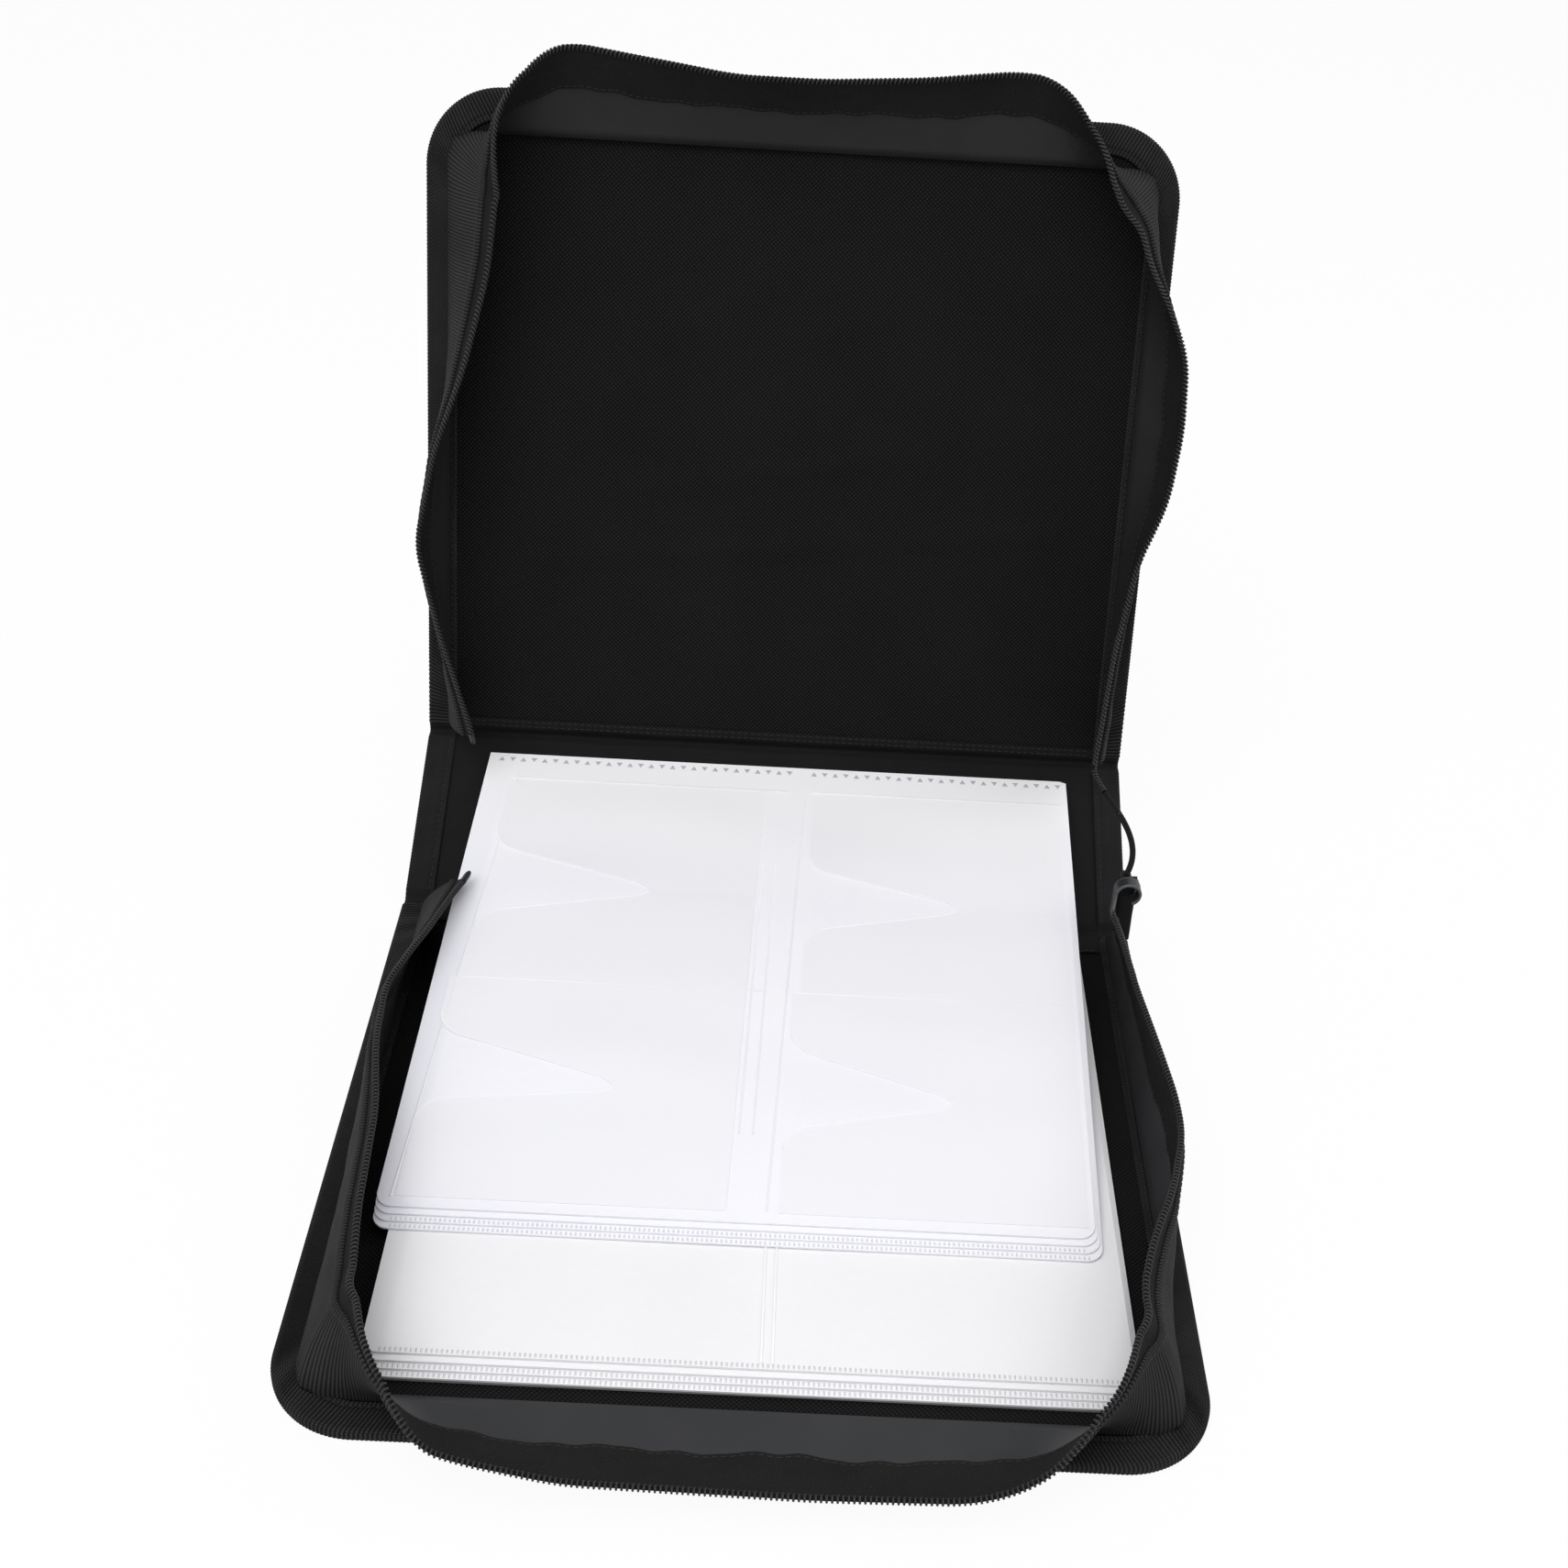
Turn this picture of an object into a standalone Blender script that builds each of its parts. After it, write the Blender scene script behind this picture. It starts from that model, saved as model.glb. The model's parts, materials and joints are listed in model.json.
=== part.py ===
"""Zip-round disc case, opened: base on the table, spine rising behind it, lid leaning back.

Metres, +Z up. The origin is the middle of the base's underside. X runs across, +Y towards the lid.
Each panel is a board between a woven cover and a liner, edged with a folded binding tape.
Soft walls stand on three sides of the base and the lid and carry the two halves of the zip.
"""
import math

import bmesh
import bpy
import numpy as np
from mathutils import Matrix, Vector

# Sleeve pages and the panels that hold them
PAGE_WIDTH = 0.271
PAGE_LENGTH = 0.265
PAGE_SIDE_ROOM = 0.0285
PAGE_FRONT_ROOM = 0.0265
SPINE_DEPTH = 0.0915
CORNER_RADIUS = 0.033
CORNER_STEPS = 8
SPINE_ANGLE = 26.0
LID_ANGLE = 74.0

# Layers
COVER_THICK = 0.0008
BOARD_THICK = 0.0018
LINER_THICK = 0.0005
BINDING_THICK = 0.0008
LAYER_GAP = 0.0003
BINDING_LAP = 0.0130
FOLD_HALF_GAP = 0.0005
FOLD_ROOM = 0.0052

# Lining hems that lap over the folds
BASE_HEM = 0.016
LID_HEM = 0.009
HEM_THICK = 0.0005

# Walls and zip
FOOT_INSET = 0.0120
FOOT_RISE = 0.0020
FOOT_START = 0.008
BOX_RADIUS = 0.006
RIM_RADIUS = 0.034
WALL_THICK = 0.0008
WALL_SLANT = 0.031
RIM_SLANT = 0.0366
WALL_BOW = 0.0025
TAPE_THICK = 0.0006
TAPE_WIDTH = 0.0125
COIL_RADIUS = 0.0013
COIL_GAP = 0.0006
END_REACH = 0.1
WALL_STEPS = 57
BOX_CORNER_SPAN = 0.016
BOX_CORNER_STEPS = 7
SOFTENING = (-0.009, -0.0045, 0.0, 0.0045, 0.009)

# How far the rim leans outwards: place along the rim from the left fold to the right fold, degrees
BASE_LEAN = (
    (0.00, -34), (0.07, -18), (0.12, -1), (0.16, -4), (0.205, -15), (0.265, -20), (0.300, -26),
    (0.340, -10), (0.356, 22), (0.372, 55), (0.390, 66), (0.430, 80), (0.530, 82), (0.590, 77),
    (0.611, 63), (0.628, 50), (0.642, 30), (0.662, -10), (0.708, -23), (0.737, -12), (0.767, 2),
    (0.804, 11), (0.828, 10), (0.860, 4), (0.907, -4), (1.00, -9),
)
LID_LEAN = (
    (0.00, -22), (0.064, 2), (0.111, 13), (0.164, 3), (0.205, -14), (0.257, -31), (0.305, -38),
    (0.338, -22), (0.357, 14), (0.370, 42), (0.384, 48), (0.413, 46), (0.462, 36), (0.507, 36),
    (0.560, 42), (0.605, 48), (0.624, 40), (0.640, 16), (0.655, -10), (0.682, -22), (0.719, -7),
    (0.742, 9), (0.769, 23), (0.806, 25), (0.844, 18), (0.880, 3), (0.928, -3), (1.00, -14),
)
BASE_RIM_ENDS = (0.020, 0.032)
LID_RIM_ENDS = (0.002, 0.006)

# Groups of leaves
BOUND_TURN = 0.0095
BOUND_ROOM = 0.0013
PAGE_CORNER = 0.006
PAGE_CORNER_STEPS = 3
LEAF_STEPS = 4
LEAF_FRONT_STEP = 0.0026
LEAF_SIDE_STEP = 0.0009
LOWER_GROUP_THICK = 0.0044
UPPER_GROUP_THICK = 0.0036
UPPER_BOUND_THICK = 0.0011
UPPER_SKEW = 1.4
PAGES_OFF_CENTRE = 0.0020
BACKING_THICK = 0.0006
UPPER_STRIP_PLACE = 0.0725
LOWER_STRIP_PLACE = 0.0115
STRIP_WIDTH = 0.010
STRIP_THICK = 0.0006

# Zip end at the right side
SLIDER_LENGTH = 0.0100
SLIDER_WIDTH = 0.0080
SLIDER_THICK = 0.0046
SLIDER_INSET = 0.0078
SLIDER_FROM_FOLD = 0.01575
SLIDER_RISE = 0.0436
CHEEK_THICK = 0.0009
CHEEK_LIP = 0.0005
CHEEK_HEIGHT = 0.0034
BAIL_RADIUS = 0.0006
PULL_LENGTH = 0.0220
PULL_WIDTH = 0.0044
PULL_THICK = 0.0012
PULL_EYE_WALL = 0.0008
PULL_RING_SHARE = 0.9
ROD_SIDES = 16
RUNNING_GAP = 0.0004
TAIL_WIDTH = 0.0080
TAIL_THICK = 0.0016
TAIL_GAP = 0.0012
TAIL_LEAVE = (0.0015, -0.007, -0.010)
TAIL_ARRIVAL = (0.009, 0.006, 0.020)
TAIL_STEPS = 16
LOOP_RADIUS = 0.0052
LOOP_INSET = 0.0080
LOOP_RISE = 0.0461
LOOP_LEG = 0.0130
LOOP_START_GAP = 0.0009
LOOP_WIDTH = 0.0050
LOOP_THICK = 0.0012
LOOP_STEPS = 10
LOOP_END_TURN = -63.0
END_TAB_INSET = 0.0080
END_TAB_RISE = 0.0451
END_TAB_LENGTH = 0.0300
END_TAB_WIDTH = 0.0075
END_TAB_THICK = 0.0018
END_TAB_LEAN = 4.0

# Panel sizes, and heights above the middle of the cover fabric
PANEL_WIDTH = PAGE_WIDTH + 2 * PAGE_SIDE_ROOM
PANEL_DEPTH = PAGE_LENGTH + PAGE_FRONT_ROOM
HALF_WIDTH = PANEL_WIDTH / 2
COVER_TOP = COVER_THICK / 2
BOARD_LOW = COVER_TOP + LAYER_GAP
BOARD_TOP = BOARD_LOW + BOARD_THICK
LINER_LOW = BOARD_TOP + LAYER_GAP
LINER_TOP = LINER_LOW + LINER_THICK
BINDING_LOW = LINER_TOP + LAYER_GAP
BINDING_TOP = BINDING_LOW + BINDING_THICK


def start_scene():
    """Remove every object and make one collection for the pieces and one for the cutters."""
    for item in list(bpy.data.objects):
        bpy.data.objects.remove(item, do_unlink=True)
    parts = bpy.data.collections.new("cd_storage_case")
    cutters = bpy.data.collections.new("cutters")
    bpy.context.scene.collection.children.link(parts)
    bpy.context.scene.collection.children.link(cutters)
    return parts, cutters


PARTS, CUTTERS = start_scene()


def material(name, colour, roughness, metallic=0.0):
    """A Principled material with one colour, roughness and metallic value."""
    made = bpy.data.materials.new(name)
    made.use_nodes = True
    shader = made.node_tree.nodes["Principled BSDF"]
    shader.inputs["Base Color"].default_value = (*colour, 1.0)
    shader.inputs["Roughness"].default_value = roughness
    shader.inputs["Metallic"].default_value = metallic
    return made


def frame_empty(name, parent, matrix):
    """An empty that carries the pieces of one body."""
    empty = bpy.data.objects.new(name, None)
    PARTS.objects.link(empty)
    empty.parent = parent
    empty.matrix_local = matrix
    return empty


def add_object(name, data, parent, finish, collection=PARTS):
    """Link one named piece under its body's empty."""
    item = bpy.data.objects.new(name, data)
    collection.objects.link(item)
    item.parent = parent
    if finish:
        data.materials.append(finish)
    return item


def finish_mesh(name, build, parent, finish, smooth_angle=None):
    """Turn a bmesh into a named piece."""
    bmesh.ops.recalc_face_normals(build, faces=build.faces)
    data = bpy.data.meshes.new(name)
    build.to_mesh(data)
    build.free()
    if smooth_angle:
        data.shade_smooth()
        data.set_sharp_from_angle(angle=math.radians(smooth_angle))
    return add_object(name, data, parent, finish)


def box_mesh(x_range, y_range, z_range):
    """A bmesh box between three pairs of limits."""
    build = bmesh.new()
    bmesh.ops.create_cube(build, size=1.0)
    limits = (x_range, y_range, z_range)
    bmesh.ops.scale(build, vec=[high - low for low, high in limits], verts=build.verts)
    bmesh.ops.translate(build, vec=[(high + low) / 2 for low, high in limits], verts=build.verts)
    return build


def plate(name, parent, finish, x_range, y_range, z_range, round_y=None, radius=0.0):
    """A flat layer; the two upright edges at round_y are rounded to the radius."""
    build = box_mesh(x_range, sorted(y_range), z_range)
    if radius > 0:
        upright = [
            edge for edge in build.edges
            if all(abs(vert.co.y - round_y) < 1e-6 for vert in edge.verts)
            and abs(edge.verts[0].co.x - edge.verts[1].co.x) < 1e-6
        ]
        bmesh.ops.bevel(build, geom=upright, offset=radius, offset_type="OFFSET",
                        segments=CORNER_STEPS, profile=0.5, affect="EDGES")
    return finish_mesh(name, build, parent, finish)


def sheet(name, parent, finish, points, thick):
    """A sheet through a grid of points, given its thickness half on each side."""
    rows, columns = points.shape[:2]
    corner = np.arange(rows * columns).reshape(rows, columns)
    faces = np.stack([corner[:-1, :-1], corner[1:, :-1], corner[1:, 1:], corner[:-1, 1:]], axis=-1)
    data = bpy.data.meshes.new(name)
    data.from_pydata(points.reshape(-1, 3).tolist(), [], faces.reshape(-1, 4).tolist())
    data.shade_smooth()
    piece = add_object(name, data, parent, finish)
    solid = piece.modifiers.new("thickness", "SOLIDIFY")
    solid.thickness = thick
    solid.offset = 0.0
    solid.use_even_offset = True
    return piece


def tube(name, parent, finish, points, radius):
    """A round cord through the points, with closed ends."""
    data = bpy.data.curves.new(name, "CURVE")
    data.dimensions = "3D"
    data.bevel_depth = radius
    data.bevel_resolution = 2
    data.use_fill_caps = True
    spline = data.splines.new("POLY")
    spline.points.add(len(points) - 1)
    for spot, place in zip(spline.points, points):
        spot.co = (*place, 1.0)
    return add_object(name, data, parent, finish)


def panel_layers(side, parent, finishes, reach):
    """Cover, board and liner of the base (reach -1) or the lid (reach +1), from its fold outwards."""
    far = reach * PANEL_DEPTH
    cover_inset = BINDING_LAP + LAYER_GAP
    board_inset = BINDING_THICK + LAYER_GAP
    layers = (
        ("cover", cover_inset, FOLD_HALF_GAP, -COVER_TOP, COVER_TOP),
        ("board", board_inset, FOLD_ROOM, BOARD_LOW, BOARD_TOP),
        ("liner", board_inset, FOLD_ROOM, LINER_LOW, LINER_TOP),
    )
    for layer, inset, start, low, high in layers:
        half = HALF_WIDTH - inset
        end = far - reach * inset
        plate(f"{side}_{layer}", parent, finishes[layer], (-half, half), (reach * start, end),
              (low, high), end, CORNER_RADIUS - inset)


def corner_path(half, length, radius, start):
    """Left side, two round far corners and right side of a panel, as (x, distance from the fold)."""
    turn = np.linspace(0, math.pi / 2, CORNER_STEPS + 1)
    left = np.stack([-(half - radius) - radius * np.cos(turn),
                     length - radius + radius * np.sin(turn)], axis=1)
    right = left[::-1] * (-1, 1)
    return np.vstack([[-half, start], left, right, [half, start]])


def binding_section():
    """Folded tape section: inset from the panel's edge and height, upper edge to lower edge."""
    middle = BINDING_THICK / 2
    return ((BINDING_LAP - middle, BINDING_TOP - middle), (middle, BINDING_TOP - middle),
            (middle, -COVER_TOP + middle), (BINDING_LAP - middle, -COVER_TOP + middle))


def panel_binding(side, parent, finish, reach):
    """Binding tape folded over the three outer edges of the base or the lid."""
    rows = []
    for inset, height in binding_section():
        path = corner_path(HALF_WIDTH - inset, PANEL_DEPTH - inset, CORNER_RADIUS - inset, FOLD_ROOM)
        rows.append(np.column_stack([path[:, 0], reach * path[:, 1], np.full(len(path), height)]))
    sheet(f"{side}_binding", parent, finish, np.stack(rows, axis=1), BINDING_THICK)


def spine_layers(parent, finishes):
    """Cover, board and lining of the spine, with the binding tape on its two short edges."""
    end = SPINE_DEPTH
    cover_half = HALF_WIDTH - BINDING_LAP - LAYER_GAP
    board_half = HALF_WIDTH - BINDING_THICK - LAYER_GAP
    plate("spine_cover", parent, finishes["cover"], (-cover_half, cover_half),
          (FOLD_HALF_GAP, end - FOLD_HALF_GAP), (-COVER_TOP, COVER_TOP))
    plate("spine_board", parent, finishes["board"], (-board_half, board_half),
          (FOLD_ROOM, end - FOLD_ROOM), (BOARD_LOW, BOARD_TOP))
    plate("spine_lining", parent, finishes["lining"], (-board_half, board_half),
          (FOLD_ROOM, end - FOLD_ROOM), (LINER_LOW, LINER_TOP))
    for name, hand in (("spine_binding_left", -1), ("spine_binding_right", 1)):
        rows = [[(hand * (HALF_WIDTH - inset), along, height) for inset, height in binding_section()]
                for along in (FOLD_ROOM, end - FOLD_ROOM)]
        sheet(name, parent, finishes["binding"], np.array(rows), BINDING_THICK)
    for name, place in (("page_strip_lower", LOWER_STRIP_PLACE), ("page_strip_upper", UPPER_STRIP_PLACE)):
        low = LINER_TOP + LAYER_GAP
        plate(name, parent, finishes["strip"], (-PAGE_WIDTH / 2 + PAGES_OFF_CENTRE,
                                                PAGE_WIDTH / 2 + PAGES_OFF_CENTRE),
              (place - STRIP_WIDTH / 2, place + STRIP_WIDTH / 2), (low, low + STRIP_THICK))


def lining_hems(base, lid, finish):
    """The spine lining's two hems, sewn down on the base and on the lid past the folds."""
    half = HALF_WIDTH - BINDING_LAP - LAYER_GAP
    low = LINER_TOP + LAYER_GAP
    inner = half - FOOT_INSET + BINDING_LAP - WALL_THICK
    plate("lining_hem_base", base, finish, (-inner, inner), (-FOLD_ROOM, -BASE_HEM),
          (low, low + HEM_THICK))
    plate("lining_hem_lid", lid, finish, (-inner, inner), (FOLD_ROOM, LID_HEM),
          (low, low + HEM_THICK))


def rounded_route(place, radius):
    """Points and outward directions at places 0 to 1 by length along a wall's route."""
    half = HALF_WIDTH - FOOT_INSET
    length = PANEL_DEPTH - FOOT_INSET
    side = length - radius - FOOT_START
    turn = radius * math.pi / 2
    front = 2 * (half - radius)
    total = 2 * side + 2 * turn + front
    run = np.asarray(place) * total
    left = np.clip(run, 0, side)
    first = np.clip((run - side) / turn, 0, 1) * math.pi / 2
    across = np.clip(run - side - turn, 0, front)
    second = np.clip((run - side - turn - front) / turn, 0, 1) * math.pi / 2
    right = np.clip(run - side - 2 * turn - front, 0, side)
    heading = first + second
    out = np.column_stack([-np.cos(heading), np.sin(heading)])
    x = -half + radius * (1 - np.cos(first)) + across + radius * np.sin(second)
    y = FOOT_START + left + radius * np.sin(first) - radius * (1 - np.cos(second)) - right
    return np.column_stack([x, y]), out


def stations():
    """Places along the wall, closer together at the two box corners."""
    _, out = rounded_route(np.linspace(0, 1, 2001), BOX_RADIUS)
    places = np.linspace(0, 1, 2001)
    corners = [places[np.argmin(np.abs(out[:, 0] - sign * out[:, 1]))] for sign in (-1, 1)]
    near = [corner + np.linspace(-BOX_CORNER_SPAN, BOX_CORNER_SPAN, BOX_CORNER_STEPS)
            for corner in corners]
    even = [place for place in np.linspace(0, 1, WALL_STEPS)
            if all(abs(place - corner) > BOX_CORNER_SPAN for corner in corners)]
    return np.sort(np.concatenate([even, *near]))


def wall_grid(lean, ends, slants, reach):
    """Grid over a wall: places along it by slant heights, with the direction of its inner side.

    The foot has nearly square corners and the rim round ones. The rim leans outwards by the
    smoothed lean angle, and its two ends lie further from the fold than the wall's foot.
    """
    place = stations()
    near_start = np.clip(1 - place / END_REACH, 0, 1) ** 2
    near_end = np.clip(1 - (1 - place) / END_REACH, 0, 1) ** 2
    route_length = 2 * PANEL_DEPTH + PANEL_WIDTH
    rim_place = place + (ends[0] * near_start - ends[1] * near_end) / route_length
    foot, _ = rounded_route(place, BOX_RADIUS)
    rim, out = rounded_route(rim_place, RIM_RADIUS)
    where, degrees = np.array(lean).T
    angle = np.radians(sum(np.interp(place + shift, where, degrees) for shift in SOFTENING)
                       / len(SOFTENING))
    top = rim + out * (RIM_SLANT * np.sin(angle))[:, None]
    low = BINDING_TOP + LAYER_GAP
    levels = [np.column_stack([foot[:, 0], reach * foot[:, 1], np.full(len(place), low)])]
    for slant in slants:
        share = slant / RIM_SLANT
        flat = foot + (top - foot) * share + out * WALL_BOW * math.sin(math.pi * share)
        height = low + FOOT_RISE + RIM_SLANT * np.cos(angle) * share
        levels.append(np.column_stack([flat[:, 0], reach * flat[:, 1], height]))
    grid = np.stack(levels, axis=1)
    inner = np.cross(np.gradient(grid, axis=1), np.gradient(grid, axis=0)) * reach
    return grid, inner / np.linalg.norm(inner, axis=-1, keepdims=True)


def walled_side(side, parent, finishes, reach, lean, ends):
    """Wall, zip tape and zip teeth of the base or the lid."""
    tape_top = RIM_SLANT - COIL_RADIUS - COIL_GAP
    tape_low = tape_top - TAPE_WIDTH
    middle = (tape_low + WALL_SLANT) / 2
    grid, inner = wall_grid(lean, ends, (0, tape_low / 2, tape_low, middle, WALL_SLANT, tape_top,
                                         RIM_SLANT), reach)
    lining_side = grid + inner * (WALL_THICK / 2 + LAYER_GAP + TAPE_THICK / 2)
    sheet(f"{side}_wall", parent, finishes["wall"], grid[:, :6], WALL_THICK)
    sheet(f"{side}_zip_tape", parent, finishes["tape"], lining_side[:, 3:7], TAPE_THICK)
    coil = lining_side[:, 7]
    tube(f"{side}_zip_teeth", parent, finishes["teeth"], coil, COIL_RADIUS)
    return coil


def leaf_outline(growth, left, right, back, front):
    """Page outline with round front corners; growth steps the right and front edges out."""
    turn = np.linspace(0, math.pi / 2, PAGE_CORNER_STEPS + 1)
    radius = PAGE_CORNER
    right = right + growth * LEAF_SIDE_STEP
    front = front - growth * LEAF_FRONT_STEP
    near_left = [(left + radius - radius * math.sin(a), front + radius - radius * math.cos(a))
                 for a in turn]
    near_right = [(right - radius + radius * math.sin(a), front + radius - radius * math.cos(a))
                  for a in reversed(turn)]
    return [(right, back), *near_right, *near_left, (left, back)]


def page_group(name, parent, finish, left, back, front, low_at, high_at, skew=0.0):
    """A group of leaves as one stepped block between a lower and an upper sloping face."""
    build = bmesh.new()
    slip = math.tan(math.radians(skew))
    rings = []
    for leaf in range(LEAF_STEPS):
        outline = leaf_outline(LEAF_STEPS - 1 - leaf, left, left + PAGE_WIDTH, back, front)
        for level in (leaf, leaf + 1):
            share = level / LEAF_STEPS
            rings.append([
                build.verts.new((x + (y - back) * slip, y, low_at(y) + (high_at(y) - low_at(y)) * share))
                for x, y in outline
            ])
    count = len(rings[0])
    build.faces.new(reversed(rings[0]))
    build.faces.new(rings[-1])
    for lower, upper in zip(rings, rings[1:]):
        for spot in range(count):
            after = (spot + 1) % count
            corners = (lower[spot], lower[after], upper[after], upper[spot])
            build.faces.new(corners)
    bmesh.ops.remove_doubles(build, verts=build.verts, dist=1e-6)
    return finish_mesh(name, build, parent, finish)


def start_pages(base, spine_matrix, finishes):
    """Backing sheet and lower group flat on the base, upper group sloping up onto the spine."""
    floor = LINER_TOP + LAYER_GAP
    upright_strip = LINER_TOP + LAYER_GAP + STRIP_THICK
    back = -upright_strip - BOUND_ROOM
    front = back - PAGE_LENGTH + BOUND_TURN
    left = -PAGE_WIDTH / 2 + PAGES_OFF_CENTRE
    growth = LEAF_STEPS - 1
    hem_top = LINER_TOP + LAYER_GAP + HEM_THICK
    sheet_back = -BASE_HEM - RUNNING_GAP
    plate("page_backing_sheet", base, finishes["backing"],
          (left, left + PAGE_WIDTH + growth * LEAF_SIDE_STEP),
          (front - growth * LEAF_FRONT_STEP, sheet_back), (floor, floor + BACKING_THICK),
          front - growth * LEAF_FRONT_STEP, PAGE_CORNER)
    lower_low = max(floor + BACKING_THICK, hem_top) + LAYER_GAP
    lower_high = lower_low + LOWER_GROUP_THICK
    page_group("lower_pages", base, finishes["pages_low"], left, back, front,
               lambda y: lower_low, lambda y: lower_high)

    strip_top = LINER_TOP + LAYER_GAP + STRIP_THICK + LAYER_GAP
    bound = spine_matrix @ Vector((0, UPPER_STRIP_PLACE + STRIP_WIDTH / 2, strip_top))
    bound_back = bound.y
    bound_low = bound.z
    upper_front = bound_back - PAGE_LENGTH
    low_front = lower_high + LAYER_GAP
    run = bound_back - (upper_front - growth * LEAF_FRONT_STEP)

    def low_at(y):
        return low_front + (bound_low - low_front) * (y - bound_back + run) / run

    def high_at(y):
        thick = UPPER_GROUP_THICK + (UPPER_BOUND_THICK - UPPER_GROUP_THICK) * (y - bound_back + run) / run
        return low_at(y) + thick

    page_group("upper_pages", base, finishes["pages"], left, bound_back, upper_front,
               low_at, high_at, UPPER_SKEW)


def strip(name, parent, finish, route, across, width, thick):
    """A flat band along a route, its width laid along the direction given for each point."""
    half = across / np.linalg.norm(across, axis=-1, keepdims=True) * width / 2
    return sheet(name, parent, finish, np.stack([route - half, route + half], axis=1), thick)


def bend(start, leave, arrive, goal, steps):
    """Smooth route from start to goal, pulled towards the two handle points between them."""
    share = np.linspace(0, 1, steps)[:, None]
    rest = 1 - share
    return (rest ** 3 * np.array(start) + 3 * rest ** 2 * share * np.array(leave)
            + 3 * rest * share ** 2 * np.array(arrive) + share ** 3 * np.array(goal))


def zip_end(base, spine, spine_matrix, base_matrix, lid_matrix, finishes, base_coil, lid_coil):
    """Joined zip end at the right: free lid half, slider with its pull, end loop and end tab."""
    place = base_matrix @ Vector((HALF_WIDTH - SLIDER_INSET, -SLIDER_FROM_FOLD, SLIDER_RISE))
    to_base = base_matrix.inverted()
    rim_end = lid_matrix @ Vector(lid_coil[-1])
    onward = (rim_end - lid_matrix @ Vector(lid_coil[-2])).normalized()
    start = rim_end + onward * TAIL_GAP
    goal = place + Vector((0, 0, SLIDER_LENGTH / 2 + RUNNING_GAP))
    world = bend(start, start + Vector(TAIL_LEAVE), goal + Vector(TAIL_ARRIVAL), goal, TAIL_STEPS)
    to_spine = spine_matrix.inverted()
    route = np.array([to_spine @ Vector(spot) for spot in world])
    across = np.cross(np.gradient(route, axis=0), (1.0, 0.0, 0.0))
    across[-1] = to_spine.to_3x3() @ Vector((0, -np.linalg.norm(across[-1]), 0))
    strip("zip_tail", spine, finishes["tape"], route, across, TAIL_WIDTH, TAIL_THICK)

    slider(base, Matrix.Translation(to_base @ place) @ Matrix.Rotation(-math.pi / 2, 4, "Z"), finishes)

    tab_back = place.y - SLIDER_WIDTH / 2 - RUNNING_GAP
    loop_back = tab_back - END_TAB_THICK - RUNNING_GAP
    loop_centre = base_matrix @ Vector((HALF_WIDTH - LOOP_INSET, 0, LOOP_RISE))
    loop = end_loop(base_matrix @ Vector(base_coil[-1]), loop_centre, loop_back)
    loop = np.array([[to_base @ Vector(spot) for spot in row] for row in loop])
    sheet("zip_end_loop", base, finishes["loop"], loop, LOOP_THICK)

    build = box_mesh((-END_TAB_WIDTH / 2, END_TAB_WIDTH / 2), (-END_TAB_THICK / 2, END_TAB_THICK / 2),
                     (-END_TAB_LENGTH, 0))
    bmesh.ops.bevel(build, geom=build.edges[:], offset=END_TAB_THICK / 4, segments=1, affect="EDGES")
    tab = finish_mesh("zip_end_tab", build, base, finishes["tab"])
    tab_y = (to_base @ Vector((0, tab_back - END_TAB_THICK / 2, 0))).y
    tab.matrix_local = (Matrix.Translation((HALF_WIDTH - END_TAB_INSET, tab_y, END_TAB_RISE))
                        @ Matrix.Rotation(math.radians(-END_TAB_LEAN), 4, "Y"))


def end_loop(joint_end, centre, back):
    """Tape end that leaves the base teeth, stands up as a leg and curls outwards over its top.

    Each row holds the front and the back edge of the tape; the leg is widened forwards to the
    end of the teeth, and the curl is an arc about a line along Y.
    """
    front = back - LOOP_WIDTH
    root = joint_end.y + LOOP_START_GAP
    leg_x = centre.x - LOOP_RADIUS
    foot_z = centre.z - LOOP_LEG
    rows = [[(leg_x, front, foot_z), (leg_x, back, foot_z)]]
    for rise in (-COIL_RADIUS / 2, COIL_RADIUS / 2):
        height = joint_end.z + rise
        rows.append([(joint_end.x, root, height), (leg_x, back, height)])
    for turn in np.linspace(math.pi, math.radians(LOOP_END_TURN), LOOP_STEPS):
        x = centre.x + LOOP_RADIUS * math.cos(turn)
        z = centre.z + LOOP_RADIUS * math.sin(turn)
        rows.append([(x, front, z), (x, back, z)])
    return rows


def boolean(target, cutter, operation):
    """Cut or join one mesh with another and keep the modifier live."""
    change = target.modifiers.new(operation.lower(), "BOOLEAN")
    change.operation = operation
    change.solver = "EXACT"
    change.object = cutter


def helper(name, build, matrix, parent):
    """A cutter or joined shape, kept out of the case's own collection."""
    data = bpy.data.meshes.new(name)
    bmesh.ops.recalc_face_normals(build, faces=build.faces)
    build.to_mesh(data)
    build.free()
    item = add_object(name, data, parent, None, CUTTERS)
    item.matrix_local = matrix
    item.hide_render = True
    item.display_type = "WIRE"
    return item


def cross_rod(radius, length):
    """A round rod along X, centred on the origin."""
    build = bmesh.new()
    bmesh.ops.create_cone(build, cap_ends=True, segments=ROD_SIDES, radius1=radius, radius2=radius,
                          depth=length, matrix=Matrix.Rotation(math.pi / 2, 4, "Y"))
    return build


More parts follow.
